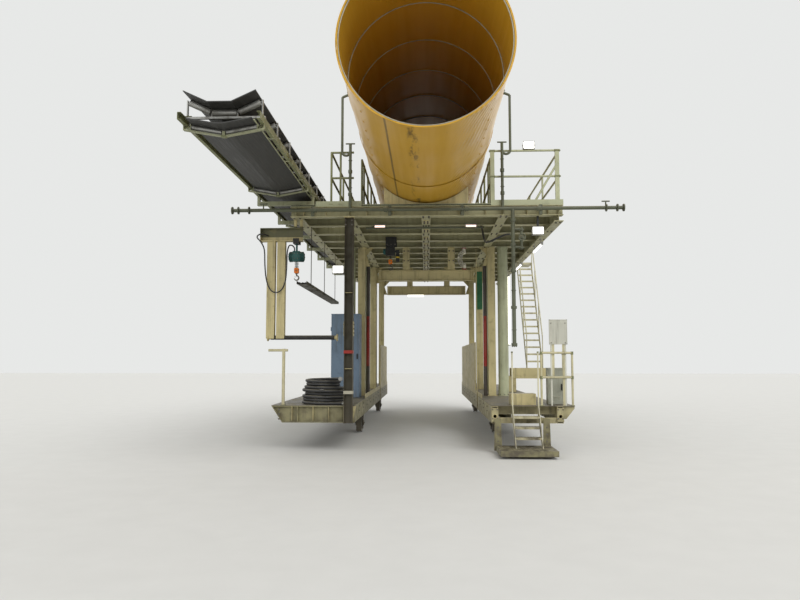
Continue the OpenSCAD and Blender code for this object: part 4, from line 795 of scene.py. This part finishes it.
def wheel_details():
    """Bearing covers and bolts on the wheel boxes, and caps on the axles' ends."""
    covers = Shape()
    for y, s, side in product(WHEEL_Y, (-1, 1), (-1, 1)):
        x = s * WHEEL_X + side * 85
        covers.rod((x, y, AXLE_Z), (x + side * 9, y, AXLE_Z), 66, 24)
        covers.bolt_circle((x + side * 9, y, AXLE_Z), (side, 0, 0), 50, 6, 9, 9)
        covers.bolts((x,), (y - 110, y + 110), (420, 480), (side, 0, 0), 12, 12)
    covers.done("bearing_covers", "dark_brown_paint")
    for (end, y), (flank, s) in product(zip(("rear", "front"), WHEEL_Y), (("left", -1), ("right", 1))):
        cap = Shape()
        for side in (-1, 1):
            x = s * WHEEL_X + side * 105
            cap.rod((x, y, AXLE_Z), (x + side * 6, y, AXLE_Z), 24, 16)
            cap.bolt((x + side * 6, y, AXLE_Z), (side, 0, 0), 10, 10)
            cap.bolt((x + side * 6, y + 14, AXLE_Z + 12), (side, 0, 0), 4, 6)
        cap.done(f"axle_caps_{end}_{flank}", "wheel_steel", BOLT, f"wheel_{end}_{flank}")


def rail_details():
    """Sleeves where rails meet posts, and foot plates with bolts."""
    sleeves, bolts = Shape(), Shape()
    side_posts, duct_posts = range(2, BAYS + 1, 2), range(1, BAYS + 1)
    sides = [(x, i) for i in side_posts for x in (RAIL_RIGHT_X, RAIL_LEFT_X)]
    inner = [(x, i) for x in (-DUCT_RAIL_X, DUCT_RAIL_X) for i in duct_posts]
    for z in (UPPER_FLOOR + MID_RAIL, UPPER_FLOOR + UPPER_RAIL_H - RAIL_R):
        for x in (1290, 2540):
            sleeves.rod((x - 52, RAIL_Y0, z), (x + 52, RAIL_Y0, z), 27, 12)
        sleeves.ring((RAIL_RIGHT_X, RAIL_Y0, z), UP, 20, 14, 12, 8)
        for places, back in ((sides, 45), (inner, 40)):
            for x, i in places:
                y = min(i * BAY, BAYS * BAY - 30)
                sleeves.rod((x, y - back, z), (x, y + 28, z), 26, 12)
    feet = [(x, i * BAY) for x, i in sides + inner] + [(-1670, RAIL_Y0), (RAIL_LEFT_X, RAIL_Y0)]
    for x, y in feet:
        sleeves.box(x - 42, x + 42, y - 42, y + 42, UPPER_FLOOR, UPPER_FLOOR + 9)
        for off in (-29, 29):
            bolts.bolt((x + off, y + off, UPPER_FLOOR + 9), UP, 8, 9)
    near, far = DECK_RAIL_X
    right_posts = ((near, DECK_RAIL_Y), (far, DECK_RAIL_Y), (far, DECK_RAIL_Y + 900))
    for x, y in right_posts + ((-2780, DECK_RAIL_Y),):
        half = 30 if x > 2700 else 48
        sleeves.box(x - half, x + half, y - 38, y + 48, DECK_H, DECK_H + 10)
        bolts.bolt((x, y - 30 if y > 500 else y + 34, DECK_H + 10), UP, 8, 9)
    for z, (x, y) in product((DECK_H + 540, DECK_H + 1009), right_posts):
        sleeves.rod((x, y, z - 34), (x, y, z + 24), 27, 12)
    for x in (1630, 2120):
        sleeves.rod((x, 20, 1868), (x, 20, 1893), 19, 12)
    sleeves.done("rail_sleeves", "grey_green_paint")
    bolts.done("rail_bolts", "roll_steel", BOLT)


frame_details()
deck_details()
tread_details()
wheel_details()
rail_details()


# Water pipes

def spray_details():
    """Flange bolts, clamps and joints of the cross tube and its risers, and the arch's nozzles."""
    pipes, bolts = Shape(), Shape()
    y, tube_z = SPRAY_Y, SPRAY_Z
    for side in (-1, 1):
        for off in (20, 120, 330):
            bolts.bolt_circle((side * (SPRAY_HALF_L - off), y, tube_z), (-side, 0, 0), 56, 8, 7, 14)
        x0, x1 = side * (SPRAY_HALF_L - 10), side * (SPRAY_HALF_L + 6)
        pipes.rod((x0, y, tube_z), (x1, y, tube_z), 46, 20)
    foot = math.asin(ARCH_LEG_X / ARCH_R)
    for i in range(-7, 8):
        a = foot * i / 7.6
        ux, uz = math.sin(a), math.cos(a)
        x, z = ARCH_R * ux, TUNNEL_AXIS_Z + ARCH_R * uz
        pipes.rod((x, y, z), (x + ux * 48, y, z + uz * 48), 13, 10)
        pipes.rod((x + ux * 48, y, z + uz * 48), (x + ux * 66, y, z + uz * 66), 20, 10, 9)
        pipes.rod((x - uz * 26, y, z + ux * 26), (x + uz * 26, y, z - ux * 26), 31, 14)
    for x in (-2200, -700, 700, 2200):
        pipes.ring((x, y, tube_z), RIGHT, 40, 7, 20, 6)
        bolts.bolts((x,), (y - 34,), (tube_z - 24, tube_z + 24), REAR, 9, 12)
    for z in (2300, 3050, 3700, 4300):
        pipes.ring((DROP_X, y, z), UP, 42, 7, 20, 6)
        pipes.box(DROP_X - 6, DROP_X + 6, y + 36, y + 60, z - 14, z + 14)
    pipes.rod((DROP_X, y, 1985), (DROP_X, y, 2003), 52, 20)
    bolts.bolt_circle((DROP_X, y, 1986), DOWN, 44, 6, 6, 9)
    for x, z in product((-1470, 1470), (5060, 5600)):
        pipes.ring((x, y, z), UP, 34, 6, 16, 6)
    pipes.done("spray_fittings", "pipe_green_paint")
    bolts.done("spray_bolts", "roll_steel", BOLT)


def valve_wheel(x, y, z):
    wheel = Shape()
    wheel.ring((x, y, z), (0, 1, 0), 62, 10, 24, 8)
    wheel.rod((x, y - 6, z), (x, y + 14, z), 18, 12)
    for degrees in (90, 210, 330):
        a = math.radians(degrees)
        wheel.rod((x, y, z), (x + 60 * math.cos(a), y, z + 60 * math.sin(a)), 7, 8)
    wheel.done("valve_wheel", "pipe_green_paint")


spray_details()
valve_wheel(1820, -262, 4055)


# Belt conveyor

def conveyor_details():
    """Seat plates, gussets and bearings of the return brackets, idler feet, and channel splices."""
    plates, bolts, bearings = Shape(), Shape(), Shape()
    z = STRINGER_Z
    for i in range(BRACKET_N):
        y = BRACKET_Y0 + i * BRACKET_PITCH
        plates.box(BELT_X - 34, BELT_X + 34, y - 34, y + 34, z - 172, z - 145)
        for side in (-1, 1):
            x, inward = BELT_X + side * BELT_HALF, -side
            plates.box(x, x + inward * 60, y - 45, y + 45, z - 8, z)
            plates.prism([(x, z - 70), (x, z - 8), (x + inward * 90, z - 8)], "y", y - 5, y + 5)
            bolts.bolts((x + inward * 30,), (y - 32, y + 32), (z - 8,), DOWN, 9, 10)
            x = BELT_X + side * 462
            bearings.rod((x, y, z + 2), (x + side * 24, y, z + 6), 24, 14)
        bearings.rod((BELT_X - 22, y, z - 108), (BELT_X + 22, y, z - 108), 20, 14)
    for i, side in product(range(-4, 13), (-1, 1)):
        x, y = BELT_X + side * 500, i * BAY - 400
        plates.box(x - 45, x + 45, y - 32, y + 32, z + 130, z + 138)
        bolts.bolt((x, y - 26, z + 138), UP, 7, 9)
    for y, side in product(range(-2500, 11000, 3000), (-1, 1)):
        x = BELT_X + side * BELT_HALF
        plates.box(x, x + side * 6, y - 160, y + 160, z + 12, z + 88)
        bolts.bolts((x + side * 6,), (y - 120, y - 50, y + 50, y + 120), (z + 50,), (side, 0, 0), 12, 12)
    plates.done("conveyor_plates", "grey_green_paint", bevel=1.5)
    bolts.done("conveyor_bolts", "roll_steel", BOLT)
    bearings.done("roll_bearings", "black_paint")


conveyor_details()


# Hoists

def chain(shape, x, y, z0, z1, pitch=30, r=4.5):
    """Links that hang between two heights, each turned a quarter from the last."""
    n = max(1, round((z0 - z1) / pitch))
    for i in range(n):
        z = z0 - (i + 0.5) * (z0 - z1) / n
        u = (1, 0) if i % 2 else (0, 1)
        line = []
        for a in angles(12):
            straight = math.copysign(6, math.sin(a)) * (abs(math.sin(a)) > 0.1)
            w, h = 9 * math.cos(a), 13 * math.sin(a) + straight
            line.append((x + u[0] * w, y + u[1] * w, z + h))
        shape.tube(line, r, 6, closed=True)


def hook(name, x, y, z):
    """A hook block with cheeks, pins and a latched hook. z is the top of the block."""
    block = Shape()
    half = [(30, -110), (45, -96), (45, -14), (31, 0)]
    block.prism([(x + dx, z + dz) for dx, dz in half] + [(x - dx, z + dz) for dx, dz in half[::-1]],
                "y", y - 35, y + 35)
    for s in (-1, 1):
        block.rod((x, y + s * 35, z - 52), (x, y + s * 41, z - 52), 27, 18)
    block.done(name + "_block", "orange_paint", body=name, bevel=4, replaces=[name])
    steel = Shape()
    line, radii = [(x, y, z - 108), (x, y, z - 140)], [14, 14]
    for k in range(1, 19):
        a = math.radians(100 - 270 * k / 18)
        line.append((x + 45 * math.cos(a), y, z - 200 + 45 * math.sin(a)))
        radii.append(14 if k < 12 else 14 - (k - 12) * 1.1)
    steel.tube(line, 14, 10, radii=radii)
    steel.rod((x, y, z - 108), (x, y, z - 122), 24, 14)
    steel.box(x - 44, x - 2, y - 5, y + 5, z - 182, z - 176)
    for s in (-1, 1):
        steel.bolt((x, y + s * 41, z - 52), (0, s, 0), 10, 8)
    steel.done(name + "_steel", "roll_steel", BOLT, name)


def left_hoist(x, y, z):
    """The motor's fins and caps, its chain, its carriage's cheeks, and its hook. z is its axis."""
    fins, trim, carriage = Shape(), Shape(), Shape()
    for s in (1, -1):
        for k in range(9):
            fins.rod((x + s * (82 + k * 6.6), y, z), (x + s * (85 + k * 6.6), y, z), 103, 20)
        fins.rod((x + s * 138, y, z), (x + s * 152, y, z), 78, 20)
        chain(trim, x + s * 24, y, z - 92, z - 218)
        trim.bolt_circle((x + s * 152, y, z), (s, 0, 0), 58, 6, 7, 8)
        carriage.box(x - 60, x + 60, y + s * 96, y + s * 104, 4030, 4130)
        for dx in (-38, 38):
            carriage.rod((x + dx, y + s * 60, 4110), (x + dx, y + s * 96, 4110), 15, 12)
    fins.box(x - 46, x + 46, y - 96, y - 80, z - 60, z + 80)
    trim.bolts((x - 34, x + 34), (y - 96,), (z - 40, z + 60), REAR, 8, 8)
    carriage.box(x - 60, x + 60, y - 104, y + 104, 4022, 4032)
    fins.done("hoist_left_fins", "teal_paint")
    trim.done("hoist_left_trim", "roll_steel", BOLT)
    carriage.done("hoist_left_carriage", "black_paint", bevel=2)
    hook("hook_left", x, y, z - 220.3)


def trolley(x, y, z):
    """The motor's cover, bolts, chain and chain bag, and its hook. z is the beam's underside."""
    motor, trim, bag = Shape(), Shape(), Shape()
    for k in range(8):
        motor.box(x - 132, x - 128, y - 84 + k * 22, y - 78 + k * 22, z - 320, z - 160)
    motor.rod((x - 134, y, z - 240), (x - 176, y, z - 240), 72, 20)
    motor.rod((x - 176, y, z - 240), (x - 190, y, z - 240), 60, 20)
    motor.done("trolley_motor", "teal_paint", body="trolley")
    for s in (-1, 1):
        trim.bolts((x - 95, x, x + 95), (y + s * 112,), (z - 85,), (0, s, 0), 12, 10)
        chain(trim, x - 20 + s * 22, y, z - 330, z - 428)
    trim.done("trolley_trim", "roll_steel", BOLT, "trolley")
    bag.box(x + 108, x + 192, y - 62, y + 62, z - 400, z - 366)
    bag.done("chain_bag_band", "black_paint", YELLOW, "trolley", bevel=3)
    hook("hook_right", x - 20, y, z - 430.3)


def jib_sleeve():
    sleeve = Shape()
    sleeve.rod((-3060, 240, 2170), (-1800, 240, 2170), 43, 16)
    sleeve.done("jib_tube_sleeve", "black_paint", bevel=3)


jib_sleeve()
left_hoist(-2570, 240, 3770)
trolley(-820, 3 * BAY, PORTAL_H)


# Lamps

def flood_lamp(name, x, y, z):
    """A lamp with a finned back, a rim, a lit face towards the rear and a yoke. z is its foot."""
    body, face = Shape(), Shape()
    body.box(x - 104, x + 104, y - 26, y + 36, z + 12, z + 156)
    for k in range(9):
        fin = x - 84 + k * 21
        body.box(fin - 4, fin + 4, y + 36, y + 68, z + 22, z + 144)
    for off in (4, 148):
        body.box(x - 110, x + 110, y - 40, y - 20, z + off, z + off + 12)
    for s in (-1, 1):
        body.box(x + s * 98, x + s * 110, y - 40, y - 20, z + 4, z + 160)
        body.box(x + s * 110, x + s * 116, y - 14, y + 14, z - 8, z + 100)
        body.rod((x + s * 104, y, z + 84), (x + s * 124, y, z + 84), 16, 12)
    body.box(x - 116, x + 116, y - 14, y + 14, z - 8, z)
    face.box(x - 98, x + 98, y - 34, y - 26, z + 16, z + 148)
    body.done(name + "_body", "lamp_body", bevel=1.5)
    face.done(name + "_face", "lamp_tube", GLOW)


def strip_lamps():
    """The post lamp's arm, the tube lamps' clips, and warm strips under the second crossbeam."""
    clips, strips = Shape(), Shape()
    clips.box(-1640, -1580, -8, 8, 3380, 3392)
    for z in (2090, 3790):
        clips.rod((2030.3, 3800, z - 14), (2030.3, 3800, z + 14), 29, 16)
    for z in (2300, 2940, 3580):
        clips.box(2000, 2026, 3790, 3810, z - 12, z + 12)
    for x in (-957, 926):
        clips.box(x - 118, x + 118, 832, 884, PORTAL_H - 2, PORTAL_H + 18)
        for s in (-1, 1):
            clips.box(x + s * 104, x + s * 118, 838, 878, PORTAL_H - 40, PORTAL_H)
        strips.rod((x - 104, 858, PORTAL_H - 20), (x + 104, 858, PORTAL_H - 20), 17, 14)
    clips.done("lamp_clips", "lamp_body")
    strips.done("strip_lamps", "lamp_tube", WARM)


def edge_lamps():
    """Tubes under the upper deck's right edge."""
    x, length = 2480, 1220
    bodies, tubes = Shape(), Shape()
    for y in (1465, 4665, 7865):
        bodies.box(x - 25, x + 25, y, y + length, 4224, 4250)
        for off in (150, 1070):
            bodies.box(x - 6, x + 6, y + off - 12, y + off + 12, 4250, 4390)
        for off in (0, length - 40):
            bodies.box(x - 22, x + 22, y + off, y + off + 40, 4186, 4224)
        tubes.rod((x, y + 40, 4204), (x, y + length - 40, 4204), 18, 14)
    bodies.done("edge_lamp_bodies", "lamp_body")
    tubes.done("edge_lamp_tubes", "lamp_tube", GLOW)


def flood_hanger():
    """The lower flood lamp's hanger. With the lamps above it takes the place of the CAD's lamps."""
    hanger = Shape()
    hanger.box(2140, 2180, -10, 30, PORTAL_H - 212, PORTAL_H)
    hanger.box(2070, 2250, -30, 44, PORTAL_H - 218, PORTAL_H - 200)
    hanger.done("flood_hanger", "lamp_body", MAT["black_paint"], bevel=1.5, replaces=["flood_lamps"])


flood_lamp("flood_upper", 2000, -50, UPPER_FLOOR + UPPER_RAIL_H)
flood_lamp("flood_lower", 2160, 10, PORTAL_H - 370)
flood_lamp("flood_post", -1710, 0, 3400)
strip_lamps()
edge_lamps()
flood_hanger()


# Fittings

def rim(shape, x0, x1, y, z0, z1, width):
    """A thin frame on a face at y."""
    for a, b, c, d in ((x0, x1, z0, z0 + width), (x0, x1, z1 - width, z1),
                       (x0, x0 + width, z0, z1), (x1 - width, x1, z0, z1)):
        shape.box(a, b, y - 5, y, c, d)


def cabinet_details(name, body, box, handle_x, louvres):
    """Rim, louvres and lever handle of a cabinet's door, and a drip cap on its case."""
    (x0, y0, z0), (x1, y1, z1) = box
    face, middle_x, middle_z = y0 - 20.3, (x0 + x1) / 2, (z0 + z1) / 2
    door = Shape()
    rim(door, x0 + 14, x1 - 14, face, z0 + 30, z1 - 14, 10)
    half = (x1 - x0) * 0.26
    for k in range(louvres):
        z = z0 + 90 + k * 26
        door.prism([(face, z), (face - 11, z + 3), (face - 11, z + 6), (face, z + 17)], "x",
                   middle_x - half, middle_x + half)
    door.done(name + "_trim", slot_of[name + "_door"], body=body, bevel=1)
    handle = Shape()
    handle.box(handle_x - 15, handle_x + 15, face - 8, face, middle_z - 70, middle_z + 50)
    handle.rod((handle_x, face - 6, middle_z + 26), (handle_x, face - 34, middle_z + 26), 9, 12)
    handle.box(handle_x - 9, handle_x + 9, face - 42, face - 30, middle_z - 80, middle_z + 38)
    handle.done(name + "_handle", "black_paint", body=body, bevel=2)
    cap = Shape()
    cap.box(x0 - 8, x1 + 12, y0 - 16, y1 + 12, z1, z1 + 14)
    for x in (x0 + 30, x1 - 60):
        cap.box(x, x + 30, y1, y1 + 8, z0 + 60, z1 - 60)
    cap.done(name + "_cap", slot_of[name], bevel=2)


def sign_details():
    """The blank sign's rim and bolts, and the legs that hold it."""
    y = DECK_RAIL_Y + 11
    plate, bolts, legs = Shape(), Shape(), Shape()
    rim(plate, 2360, 2710, y, 2030, 2510, 14)
    plate.done("sign_rim", "sign_metal", bevel=1.5)
    bolts.bolts((2400, 2670), (y,), (2060, 2440), REAR, 9, 8)
    bolts.done("sign_bolts", "roll_steel", BOLT)
    for x, z in ((2400, 1380), (2610, 862)):
        legs.box(x, x + 60, y + 10.5, y + 17.5, z, 2110)
    legs.done("sign_legs", "cream_paint", PALE_CREAM, bevel=1)


def tray_cables():
    """Cables strapped into the tray, each with its own small waves."""
    cables, ties = Shape(), Shape()
    for k in range(6):
        x0, z0 = -2572 + k * 29, 3267 + (k % 2) * 9
        line = [(x0 + 7 * noise.noise(Vector((k * 3.7, y * 0.002, 0))), y,
                 z0 + 5 * noise.noise(Vector((0, y * 0.003, k * 2.1)))) for y in range(430, 5600, 120)]
        cables.tube(line, 11 if k % 2 else 13, 8)
    cables.done("tray_cables", "hose_rubber")
    for y in range(700, 5500, 600):
        ties.box(-2590, -2410, y - 7, y + 7, 3290, 3296)
    ties.done("tray_ties", "black_paint")


def bent_pipes():
    """Three bent pipes between the first hung frame's beam and the deck, as a C, with red clamps."""
    x0, y0, middle_z = 900, 3700, 4215
    pipes = Shape()
    for k in range(3):
        x, y, r = x0 + k * 22, y0 + k * 6, 170 - k * 26
        line = [(x, y, 4500)]
        for j in range(13):
            a = math.radians(90 + 180 * j / 12)
            line.append((x + 20 + 0.8 * r * math.cos(a), y, middle_z + 1.15 * r * math.sin(a)))
        line.append((x + 20, y, 3950))
        pipes.tube(smooth_line(line, 2), 14, 8)
    pipes.done("bent_pipes", "hose_rubber", PALE)
    clamps = Shape()
    for z in (4478, 3960):
        clamps.box(x0 - 20, x0 + 85, y0 - 15, y0 + 60, z - 10, z + 10)
    clamps.done("pipe_clamps", "red_paint", RED, bevel=2)


cabinet_details("tool_cabinet", "tool_door", TOOL_BOX, 2660, 3)
cabinet_details("switch_cabinet", "switch_door", SWITCH_BOX, -1610, 5)
sign_details()
tray_cables()
bent_pipes()
